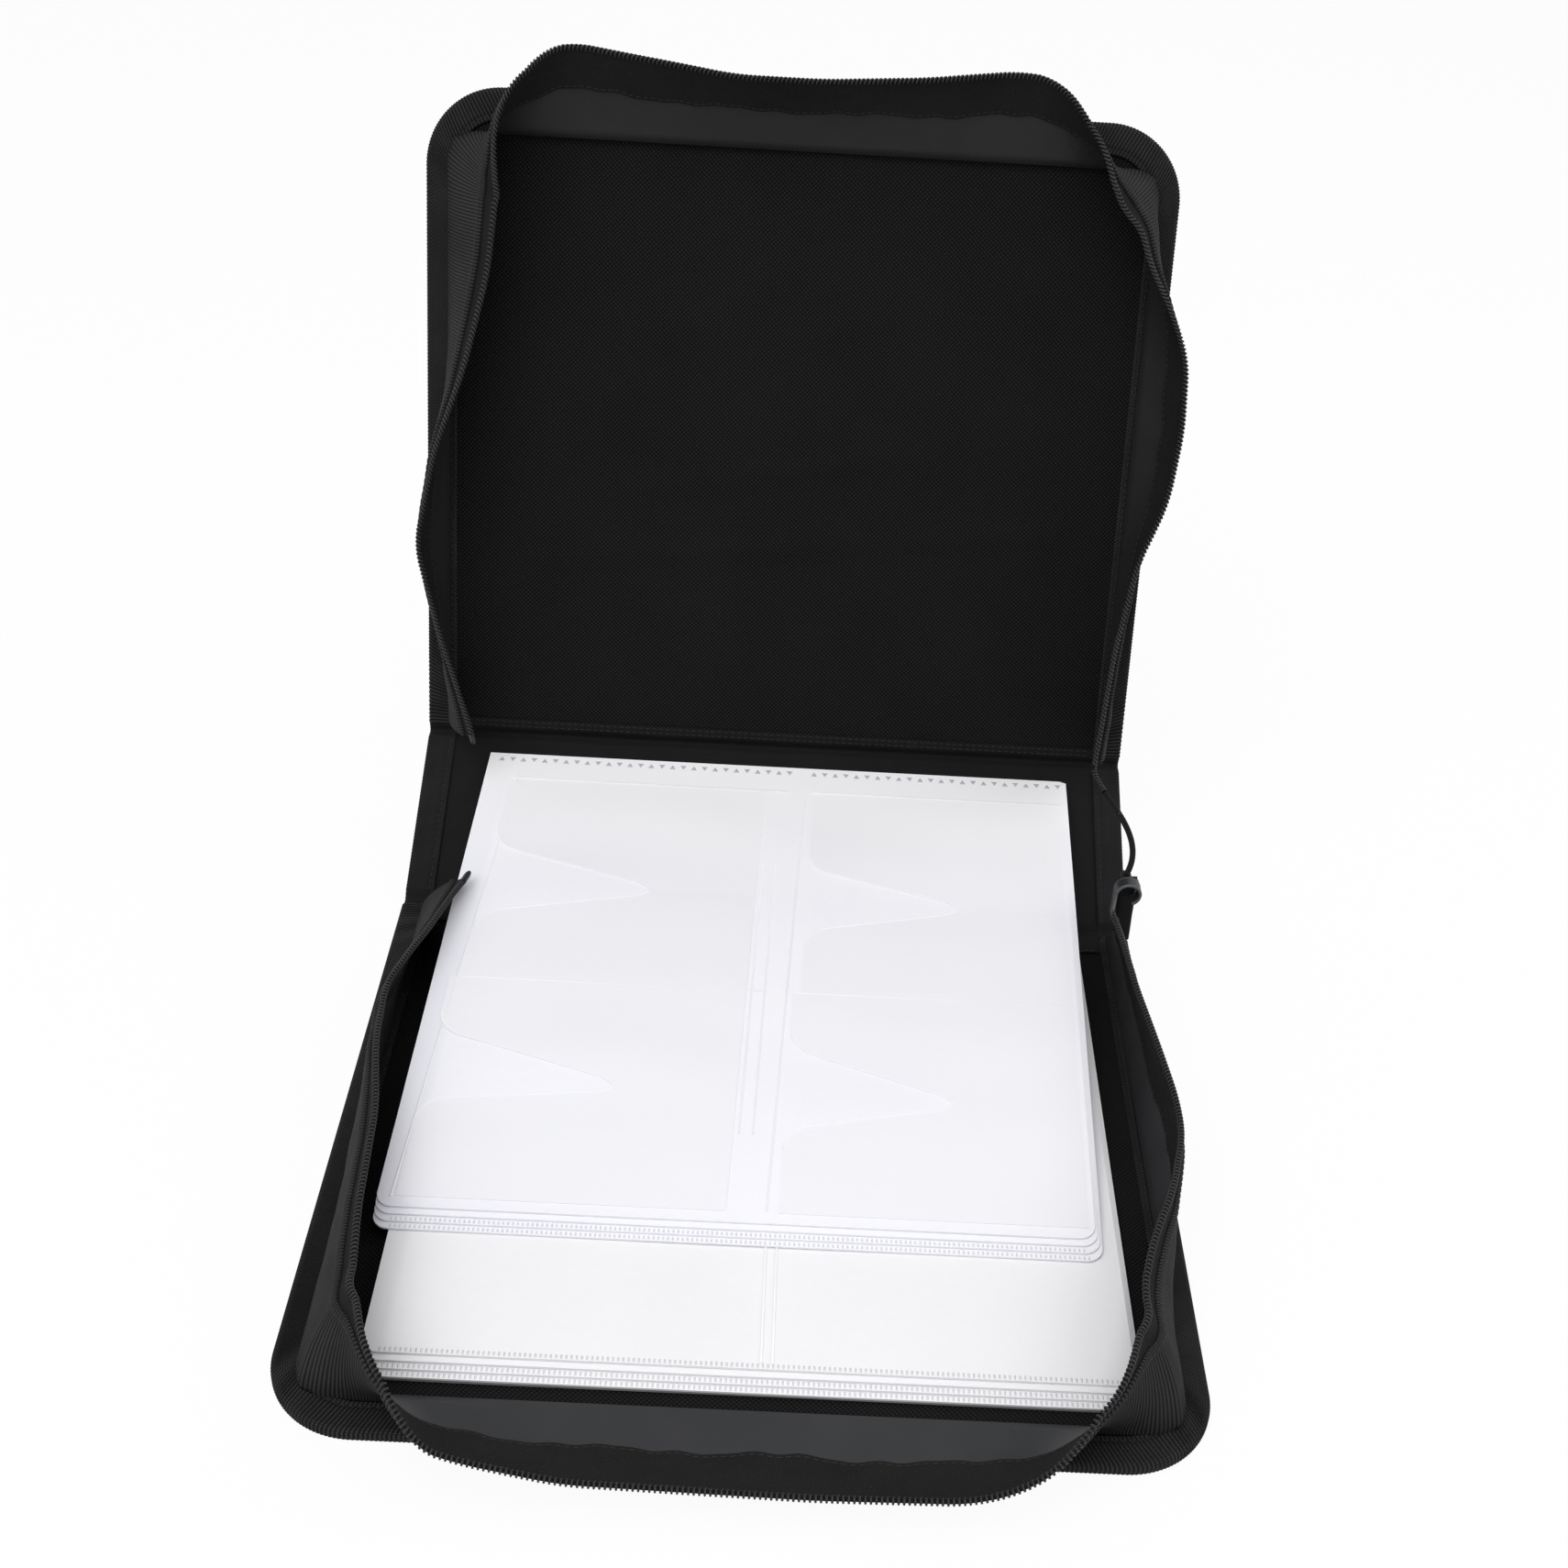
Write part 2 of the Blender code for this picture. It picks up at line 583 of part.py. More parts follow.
def slider(base, seat, finishes):
    """Slider body with two cheeks and a cross bail, and the pull hanging on the bail.

    In the seat's frame the width runs along X, the bail stands out on +Y and the pull hangs down.
    """
    build = box_mesh((-SLIDER_WIDTH / 2, SLIDER_WIDTH / 2), (-SLIDER_THICK / 2, SLIDER_THICK / 2),
                     (-SLIDER_LENGTH / 2, SLIDER_LENGTH / 2))
    bmesh.ops.bevel(build, geom=build.edges[:], offset=SLIDER_THICK / 5, segments=2, affect="EDGES")
    body = finish_mesh("zip_slider", build, base, finishes["metal"])
    body.matrix_local = seat
    cheek_middle = PULL_WIDTH / 2 + RUNNING_GAP + CHEEK_THICK / 2
    face = SLIDER_THICK / 2
    hole_radius = BAIL_RADIUS + RUNNING_GAP
    ring_radius = hole_radius + PULL_EYE_WALL
    bail_out = face + ring_radius + RUNNING_GAP
    for name, hand in (("left_cheek", -1), ("right_cheek", 1)):
        cheek = box_mesh((hand * cheek_middle - CHEEK_THICK / 2, hand * cheek_middle + CHEEK_THICK / 2),
                         (face - CHEEK_THICK, bail_out + BAIL_RADIUS + CHEEK_LIP),
                         (-CHEEK_HEIGHT / 2, CHEEK_HEIGHT / 2))
        boolean(body, helper(name, cheek, seat, base), "UNION")
    bail_seat = seat @ Matrix.Translation((0, bail_out, 0))
    rod = helper("bail_rod", cross_rod(BAIL_RADIUS, 2 * cheek_middle), bail_seat, base)
    boolean(body, rod, "UNION")

    pivot = frame_empty("pull_pivot", base, bail_seat)
    build = box_mesh((-PULL_WIDTH / 2, PULL_WIDTH / 2), (-PULL_THICK / 2, PULL_THICK / 2),
                     (-PULL_LENGTH, -hole_radius - PULL_EYE_WALL / 2))
    pull = finish_mesh("zip_pull", build, pivot, finishes["metal"])
    ring_width = PULL_WIDTH * PULL_RING_SHARE
    ring = helper("pull_ring", cross_rod(ring_radius, ring_width), Matrix.Identity(4), pivot)
    boolean(pull, ring, "UNION")
    hole = helper("pull_hole", cross_rod(hole_radius, PULL_WIDTH * 2), Matrix.Identity(4), pivot)
    boolean(pull, hole, "DIFFERENCE")


def main():
    """Build the case's three folding bodies and the zip end."""
    finishes = {
        "cover": material("oxford_black", (0.012, 0.012, 0.013), 0.85),
        "board": material("grey_board", (0.18, 0.18, 0.17), 0.8),
        "liner": material("nonwoven_black", (0.008, 0.008, 0.009), 0.9),
        "lining": material("lining_black", (0.014, 0.013, 0.014), 0.85),
        "binding": material("binding_black", (0.014, 0.014, 0.015), 0.8),
        "wall": material("coated_oxford", (0.03, 0.032, 0.035), 0.6),
        "tape": material("zip_tape_black", (0.012, 0.012, 0.013), 0.8),
        "teeth": material("zip_coil_black", (0.02, 0.02, 0.021), 0.35),
        "pages": material("sleeve_white", (0.87, 0.87, 0.90), 0.35),
        "pages_low": material("sleeve_warm_white", (0.86, 0.86, 0.86), 0.35),
        "backing": material("sleeve_grey", (0.20, 0.22, 0.21), 0.5),
        "strip": material("strip_white", (0.75, 0.75, 0.76), 0.7),
        "loop": material("coated_tape_grey", (0.05, 0.052, 0.056), 0.45),
        "tab": material("tab_black", (0.015, 0.015, 0.016), 0.8),
        "metal": material("slider_black", (0.03, 0.03, 0.032), 0.35, 0.6),
    }
    base_matrix = Matrix.Translation((0, PANEL_DEPTH / 2, COVER_THICK / 2))
    spine_turn = Matrix.Rotation(math.radians(SPINE_ANGLE), 4, "X")
    lid_step = (Matrix.Translation((0, SPINE_DEPTH, 0))
                @ Matrix.Rotation(math.radians(LID_ANGLE - SPINE_ANGLE), 4, "X"))
    base = frame_empty("base_frame", None, base_matrix)
    spine = frame_empty("spine_fold", base, spine_turn)
    lid = frame_empty("lid_fold", spine, lid_step)
    spine_matrix = base_matrix @ spine_turn
    lid_matrix = spine_matrix @ lid_step

    panel_layers("base", base, finishes, -1)
    panel_binding("base", base, finishes["binding"], -1)
    base_coil = walled_side("base", base, finishes, -1, BASE_LEAN, BASE_RIM_ENDS)
    spine_layers(spine, finishes)
    panel_layers("lid", lid, finishes, 1)
    panel_binding("lid", lid, finishes["binding"], 1)
    lid_coil = walled_side("lid", lid, finishes, 1, LID_LEAN, LID_RIM_ENDS)
    lining_hems(base, lid, finishes["lining"])
    start_pages(base, spine_turn, finishes)
    zip_end(base, spine, spine_matrix, base_matrix, lid_matrix, finishes, base_coil, lid_coil)


main()
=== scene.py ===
import json
import math

import bpy
import numpy as np
from mathutils import Matrix, Vector


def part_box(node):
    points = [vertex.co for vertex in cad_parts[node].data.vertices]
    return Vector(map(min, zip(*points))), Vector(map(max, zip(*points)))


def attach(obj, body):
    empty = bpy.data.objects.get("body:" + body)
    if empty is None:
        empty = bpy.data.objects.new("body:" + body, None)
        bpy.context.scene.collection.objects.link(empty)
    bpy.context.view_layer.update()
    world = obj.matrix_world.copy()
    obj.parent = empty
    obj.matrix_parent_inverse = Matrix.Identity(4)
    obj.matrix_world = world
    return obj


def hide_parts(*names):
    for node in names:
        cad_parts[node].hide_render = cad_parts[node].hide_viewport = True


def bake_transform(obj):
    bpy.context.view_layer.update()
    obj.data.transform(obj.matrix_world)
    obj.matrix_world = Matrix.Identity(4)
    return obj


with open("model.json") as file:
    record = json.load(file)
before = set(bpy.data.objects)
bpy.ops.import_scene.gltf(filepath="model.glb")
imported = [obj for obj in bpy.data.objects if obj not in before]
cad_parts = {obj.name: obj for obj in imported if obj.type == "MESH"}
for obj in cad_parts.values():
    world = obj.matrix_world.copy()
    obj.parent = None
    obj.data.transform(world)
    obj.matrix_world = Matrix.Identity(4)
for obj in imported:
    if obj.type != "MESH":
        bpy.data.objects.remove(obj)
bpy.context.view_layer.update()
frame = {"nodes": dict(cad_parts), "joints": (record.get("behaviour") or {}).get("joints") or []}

print("case: frame loaded")

# Where the case folds, and the sizes that everything else hangs on, all read from the frame
joints = {joint["name"]: joint for joint in frame["joints"]}
foldY, skinZ = joints["spine_fold"]["pos_m"][1:]
lidFoldY, lidFoldZ = joints["lid_fold"]["pos_m"][1:]
spineTurn = math.radians(-joints["spine_fold"]["range_deg"][0])
lidTurn = spineTurn + math.radians(-joints["lid_fold"]["range_deg"][0])
spineDepth = math.hypot(lidFoldY - foldY, lidFoldZ - skinZ)
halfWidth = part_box("spine_binding_right")[1].x
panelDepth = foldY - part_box("base_binding")[0].y
rimLength = 2 * (panelDepth + halfWidth)
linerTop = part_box("base_liner")[1].z - skinZ
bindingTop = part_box("base_binding")[1].z - skinZ
layerGap = 0.0003


def leanedBack(y, z, turn):
    return (y, z), (math.cos(turn), math.sin(turn)), (-math.sin(turn), math.cos(turn))


# Each panel's fold, the way it runs from there and the way its inner face looks, in y and z
panels = {"base": ((foldY, skinZ), (-1.0, 0.0), (0.0, 1.0)), "spine": leanedBack(foldY, skinZ, spineTurn),
          "lid": leanedBack(lidFoldY, lidFoldZ, lidTurn)}
halves = ("base", "lid")
foldBodies = {"low": ("base", "spine"), "high": ("spine", "lid")}


def onPanel(body, x, away, height=0.0):
    # A spot on a panel: across, distance from its fold, height over its skin
    x, away, height = np.broadcast_arrays(x, away, height)
    fold, along, up = panels[body]
    return np.stack([x] + [fold[k] + away * along[k] + height * up[k] for k in (0, 1)], axis=-1)


def carried(body, flat):
    return onPanel(body, flat[..., 0], flat[..., 1], flat[..., 2])


def turned(body, ways):
    # Directions in the panel's own three ways, turned into the frame
    return carried(body, ways) - onPanel(body, 0.0, 0.0)


def upFrom(body):
    return turned(body, np.array([0.0, 0.0, 1.0]))


def smooth(share):
    share = np.clip(share, 0, 1)
    return share * share * (3 - 2 * share)


def acrossFold(fold, x, along, height, reach=0.005):
    # A spot on cloth that crosses a fold: its place on each panel, carried on past the fold, and the
    # two mixed by a smooth share over the reach on each side
    x, along, height = np.broadcast_arrays(x, along, height)
    body, other = foldBodies[fold]
    before = onPanel(body, x, -along if fold == "low" else spineDepth + along, height)
    return before + (onPanel(other, x, along, height) - before) * smooth((along / reach + 1) / 2)[..., None]


def foldEnds(fold, reach=0.004):
    # Two spots on the cloth over a fold, one reach before it and one after
    return [acrossFold(fold, 0.0, np.array([side * reach]), 0.0)[0] for side in (-1, 1)]


def place(piece, bodies, slot, *nodes, ends=None):
    # The piece stands for its nodes, which are hidden, and rides on its body; one with two ends stays put
    if nodes:
        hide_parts(*nodes)
    if ends is None:
        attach(piece, bodies)
    else:
        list(bodies)
        tuple(ends[0])
        tuple(ends[1])
        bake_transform(piece)


# Making meshes

def lengthUv(points):
    # u is the mean length run along the rows and v the mean length run across them, in metres
    steps = [np.linalg.norm(np.diff(points, axis=k), axis=-1).mean(axis=1 - k) for k in (0, 1)]
    runs = [np.concatenate([[0.0], np.cumsum(step)]) for step in steps]
    return np.stack(np.meshgrid(*runs, indexing="ij"), axis=-1)


def meshOf(name, points, corners, starts, uv):
    # One mesh from its points, the corner list of its faces, where each face starts, and a UV per corner
    data = bpy.data.meshes.new(name)
    data.vertices.add(len(points))
    data.vertices.foreach_set("co", points.astype(np.float32).ravel())
    data.loops.add(len(corners))
    data.loops.foreach_set("vertex_index", corners.astype(np.int32))
    data.polygons.add(len(starts))
    data.polygons.foreach_set("loop_start", starts.astype(np.int32))
    data.update(calc_edges=True)
    data.uv_layers.new(name="UVMap").data.foreach_set("uv", uv.astype(np.float32).ravel())
    data.shade_smooth()
    return data


def finishPiece(name, data, *skins):
    for skin in skins:
        data.materials.append(finishes[skin])
    piece = bpy.data.objects.new(name, data)
    bpy.context.scene.collection.objects.link(piece)
    return piece


def gridFaces(rows, columns, wrap=False):
    # Corner numbers of the quads of a grid whose columns may join round
    i, j = np.meshgrid(np.arange(rows - 1), np.arange(columns if wrap else columns - 1), indexing="ij")
    after = (j + 1) % columns
    return np.stack([i * columns + j, (i + 1) * columns + j, (i + 1) * columns + after, i * columns + after],
                    axis=-1).reshape(-1, 4)


def slab(name, top, bottom, *skins, sharp=60, begin=0.0):
    # A sheet between two grids of points, closed round its border. The first skin is on the top grid
    # and the last on the rest; the winding is turned where the top would face inwards; u starts at begin.
    rows, columns = top.shape[:2]
    count = rows * columns
    quads = gridFaces(rows, columns)
    grid = np.arange(count).reshape(rows, columns)
    border = np.concatenate([grid[:, 0], grid[-1, 1:], grid[-2::-1, -1], grid[0, -2:0:-1]])
    after = np.roll(border, -1)
    sides = np.stack([after, border, border + count, after + count], axis=-1)
    faces = np.concatenate([quads, quads[:, ::-1] + count, sides])
    points = np.concatenate([top.reshape(-1, 3), bottom.reshape(-1, 3)])
    across = np.cross(points[quads[:, 2]] - points[quads[:, 0]], points[quads[:, 3]] - points[quads[:, 1]])
    if np.sum(across * (points[quads[:, 0]] - points[quads[:, 0] + count])) < 0:
        faces = faces[:, ::-1]
    uv = np.tile(lengthUv(top).reshape(-1, 2) + (begin, 0), (2, 1))
    data = meshOf(name, points, faces.ravel(), np.arange(len(faces)) * 4, uv[faces.ravel()])
    data.set_sharp_from_angle(angle=math.radians(sharp))
    if len(skins) > 1:
        data.polygons.foreach_set("material_index", (np.arange(len(faces)) >= len(quads)).astype(np.int32))
    return finishPiece(name, data, *skins)


def tube(name, rings, skin, flip=False):
    # A closed skin through rings of points, with a flat cap at each end
    rows, columns = rings.shape[:2]
    uv = lengthUv(np.concatenate([rings, rings[:, :1]], axis=1))
    quads = gridFaces(rows, columns, wrap=True)
    i, j = np.divmod(np.arange(len(quads)), columns)
    marks = np.stack([uv[i, j], uv[i + 1, j], uv[i + 1, j + 1], uv[i, j + 1]], axis=1)
    ends = [np.arange(columns), (rows - 1) * columns + np.arange(columns)[::-1]]
    if flip:
        quads, marks, ends = quads[:, ::-1], marks[:, ::-1], [end[::-1] for end in ends]
    starts = np.append(np.arange(len(quads)) * 4, [quads.size, quads.size + columns])
    marks = np.vstack([marks.reshape(-1, 2), uv[0, :columns], uv[-1, :columns]])
    data = meshOf(name, rings.reshape(-1, 3), np.concatenate([quads.ravel(), *ends]), starts, marks)
    data.set_sharp_from_angle(angle=math.radians(70))
    return finishPiece(name, data, skin)


def copies(name, shape, faces, places, axes, skin):
    # The same small shape at many places: each copy is its place plus the shape's own three
    # coordinates along that place's three axes
    points = (places[:, None] + np.einsum("sk,nkc->nsc", shape, axes)).reshape(-1, 3)
    corners = (faces[None] + (np.arange(len(places)) * len(shape))[:, None, None]).reshape(-1, faces.shape[1])
    starts, corners = np.arange(len(corners)) * faces.shape[1], corners.ravel()
    return finishPiece(name, meshOf(name, points, corners, starts, points[corners][:, :2]), skin)


def pill(length, width, height, sides=6):
    # A low rounded bar along its first axis: four rings of an oval, narrow at both ends, and two tips
    turn = np.linspace(0, 2 * math.pi, sides, endpoint=False)
    rings = [np.stack([np.full(sides, at * length), np.cos(turn) * width / 2 * swell,
                       np.sin(turn) * height / 2 * swell], axis=-1)
             for at, swell in ((-0.5, 0.35), (-0.36, 1.0), (0.36, 1.0), (0.5, 0.35))]
    points = np.vstack([*rings, [(-0.5 * length, 0, 0), (0.5 * length, 0, 0)]])
    side, last, tip = np.arange(0, sides, 2), 3 * sides, np.full(sides // 2, 4 * sides)
    after = (side + 2) % sides
    first = np.stack([tip, side, side + 1, after], axis=-1)
    far = np.stack([tip + 1, last + after, last + side + 1, last + side], axis=-1)
    return points, np.concatenate([gridFaces(4, sides, wrap=True), first, far])


def unit(vectors):
    return vectors / np.linalg.norm(vectors, axis=-1, keepdims=True)


def frameAlong(path, up):
    # Along, side and up directions at each point of a path
    along = unit(np.gradient(path, axis=0))
    side = unit(np.cross(up, along))
    return along, side, np.cross(along, side)


def wire(name, path, hint, radius, sides, skin, flatten=1.0):
    # A round wire along a path: a ring of points about each spot, square to the path
    _, side, up = frameAlong(path, hint)
    turn = np.linspace(0, 2 * math.pi, sides, endpoint=False)[None, :, None]
    ring = side[:, None] * np.cos(turn) + up[:, None] * np.sin(turn) * flatten
    ring = ring * np.broadcast_to(radius, len(path))[:, None, None]
    return tube(name, path[:, None] + ring, skin, flip=True)


def runOf(path):
    return np.concatenate([[0], np.cumsum(np.linalg.norm(np.diff(path, axis=0), axis=1))])


def readAt(path, run, spots):
    return np.stack([np.interp(spots, run, path[:, k]) for k in range(3)], axis=-1)


# Length, width and height of the thread that shows at each stitch
stitchSizes = dict(pitch=0.0031, seam=(0.0023, 0.00055, 0.0005), hem=(0.0022, 0.0005, 0.0004),
                   tape=(0.0021, 0.0005, 0.0004))


def sew(name, body, slot, path, up, kind="seam"):
    # Thread showing as short rounded bars one pitch apart along a seam
    run, pitch = runOf(path), stitchSizes["pitch"]
    spots = np.arange(0.5 * pitch, run[-1], pitch)
    axes = np.stack([unit(readAt(way, run, spots)) for way in frameAlong(path, up)], axis=1)
    place(copies(name, *pill(*stitchSizes[kind]), readAt(path, run, spots), axes, "thread"), body, slot)


# Materials: each reads the piece's own UV map in metres

def calc(tree, operation, *values):
    # One math node; a value is a number or a signal
    node = tree.nodes.new("ShaderNodeMath")
    node.operation = operation
    for entry, value in zip(node.inputs, values):
        if isinstance(value, Signal):
            tree.links.new(value.socket, entry)
        else:
            entry.default_value = value
    return Signal(tree, node.outputs[0])


class Signal:
    # What comes out of a node, so that sums of it can be written as sums
    def __init__(self, tree, socket):
        self.tree, self.socket = tree, socket

    def use(self, operation, *more):
        return calc(self.tree, operation, self, *more)

    def __add__(self, other):
        return self.use("ADD", other)

    def __sub__(self, other):
        return self.use("SUBTRACT", other)

    def __rsub__(self, other):
        return calc(self.tree, "SUBTRACT", other, self)

    def __mul__(self, other):
        return self.use("MULTIPLY", other)

    def __truediv__(self, other):
        return self.use("DIVIDE", other)


def mixColour(share, first, second):
    node = share.tree.nodes.new("ShaderNodeMix")
    node.data_type = "RGBA"
    share.tree.links.new(share.socket, node.inputs["Factor"])
    for entry, colour in zip([entry for entry in node.inputs if entry.type == "RGBA"], (first, second)):
        if isinstance(colour, tuple):
            entry.default_value = (*colour, 1.0)
        else:
            share.tree.links.new(colour, entry)
    return [entry for entry in node.outputs if entry.type == "RGBA"][0]


def noise(spot, scale, detail=3.0, roughness=0.55):
    node = spot.tree.nodes.new("ShaderNodeTexNoise")
    for entry, value in (("Scale", scale), ("Detail", detail), ("Roughness", roughness)):
        node.inputs[entry].default_value = value
    spot.tree.links.new(spot.socket, node.inputs["Vector"])
    return Signal(spot.tree, node.outputs["Fac"])


def wave(value, pitch):
    # |sin| of a length over a pitch: one hump a pitch
    return (value * (math.pi / pitch)).use("SINE").use("ABSOLUTE")


def startMaterial(name, roughness, specular=0.12, metal=0.0):
    # A plain shader, the piece's two UV lengths and its object coordinates
    made = bpy.data.materials.new(name)
    made.use_nodes = True
    tree = made.node_tree
    shader = tree.nodes["Principled BSDF"]
    for entry, value in (("Roughness", roughness), ("Specular IOR Level", specular), ("Metallic", metal)):
        shader.inputs[entry].default_value = value
    uvMap, parts = tree.nodes.new("ShaderNodeUVMap"), tree.nodes.new("ShaderNodeSeparateXYZ")
    uvMap.uv_map = "UVMap"
    tree.links.new(uvMap.outputs["UV"], parts.inputs["Vector"])
    spot = Signal(tree, tree.nodes.new("ShaderNodeTexCoord").outputs["Object"])
    return made, shader, Signal(tree, parts.outputs["X"]), Signal(tree, parts.outputs["Y"]), spot


def dress(shader, colour, height, relief, rough=None):
    # Colour, relief and, where it varies, roughness go to the shader
    tree = height.tree
    tree.links.new(colour, shader.inputs["Base Color"])
    if rough:
        tree.links.new(rough.socket, shader.inputs["Roughness"])
    bump = tree.nodes.new("ShaderNodeBump")
    bump.inputs["Distance"].default_value = relief
    tree.links.new(height.socket, bump.inputs["Height"])
    tree.links.new(bump.outputs["Normal"], shader.inputs["Normal"])


def cloth(name, weave, pitchU, pitchV, relief, roughness, dark, light, specular=0.12):
    # Woven cloth. Plain weave shows at each crossing the thread that is on top: one thread's hump
    # where the two thread counts add up odd, else the other's. Ribs hump along u and are crossed by
    # finer threads along v. Herringbone slants one way and then the other. Lint and dye are noises.
    made, shader, u, v, spot = startMaterial(name, roughness, specular)
    if weave == "plain":
        odd = ((u / pitchU).use("FLOOR") + (v / pitchV).use("FLOOR")).use("MODULO", 2.0).use("ABSOLUTE")
        height = odd * wave(u, pitchU) + (1.0 - odd) * wave(v, pitchV)
    elif weave == "ribs":
        height = wave(u, pitchU).use("POWER", 2.0) * (wave(v, pitchV) * 0.7 + 0.3)
    else:
        height = wave(u / pitchU + v.use("PINGPONG", pitchV * 3) / pitchV, 1.0)
    dye, lint = noise(spot, 40.0), noise(spot, 2600.0, 2.0, 0.7)
    # The tone follows the weave's height: painted shade in the hollows between threads, lighter on the humps
    colour = mixColour((dye * 0.5 + lint * 0.5) * (height * 1.5 + 0.15), dark, light)
    dress(shader, colour, height + lint * 0.35, relief, lint * 0.12 + (roughness - 0.06))
    return made


def dotted(name, pitch, relief, roughness, dark, light, dotTone):
    # Non-woven cloth: a fuzzy felt pressed with a diamond grid of small dots
    made, shader, u, v, spot = startMaterial(name, roughness)
    grid = wave(u + v, pitch) * wave(u - v, pitch)
    dots = ((grid - 0.4) * 3.0).use("MINIMUM", 1.0).use("MAXIMUM", 0.0)
    fuzz, dye = noise(spot, 1300.0, 3.0, 0.7), noise(spot, 22.0)
    tone = dots * dye * dotTone + fuzz * dye * 0.5
    dress(shader, mixColour(tone, dark, light), dots + fuzz * 0.8, relief)
    return made


def coated(name, relief, roughness, dark, light, specular=0.12, grain=1500.0, cloud=25.0, metal=0.0,
           shadedMargin=None, bound=None):
    # A smooth coat, film or paint: two noises make slight clouds and a sand-like relief. A margin is deeper in
    # colour over the first of v: greyer film there, with painted shade beside the wall. Film brightens from its
    # bound edge along u: painted light near the bound edge, where the lid shades the film.
    made, shader, u, v, spot = startMaterial(name, roughness, specular, metal)
    sand = noise(spot, grain, 2.0, 0.6)
    tone = noise(spot, cloud) * 0.7 + sand * 0.3
    # Darker over the first strip of v along the left edge: greyer weld-margin film with painted shade beside the
    # wall
    if shadedMargin:
        tone = tone * ((v - shadedMargin) / 0.003).use("MAXIMUM", 0.0).use("MINIMUM", 1.0)
    colour = mixColour(tone, dark, light)
    # Painted light: near its bound edge the film is mixed towards near white, fading out over bound metres of u
    if bound:
        colour = mixColour((1.0 - u / bound).use("MAXIMUM", 0.0), colour, (0.965, 0.965, 0.98))
    dress(shader, colour, sand, relief, sand * 0.14 + (roughness - 0.07))
    return made


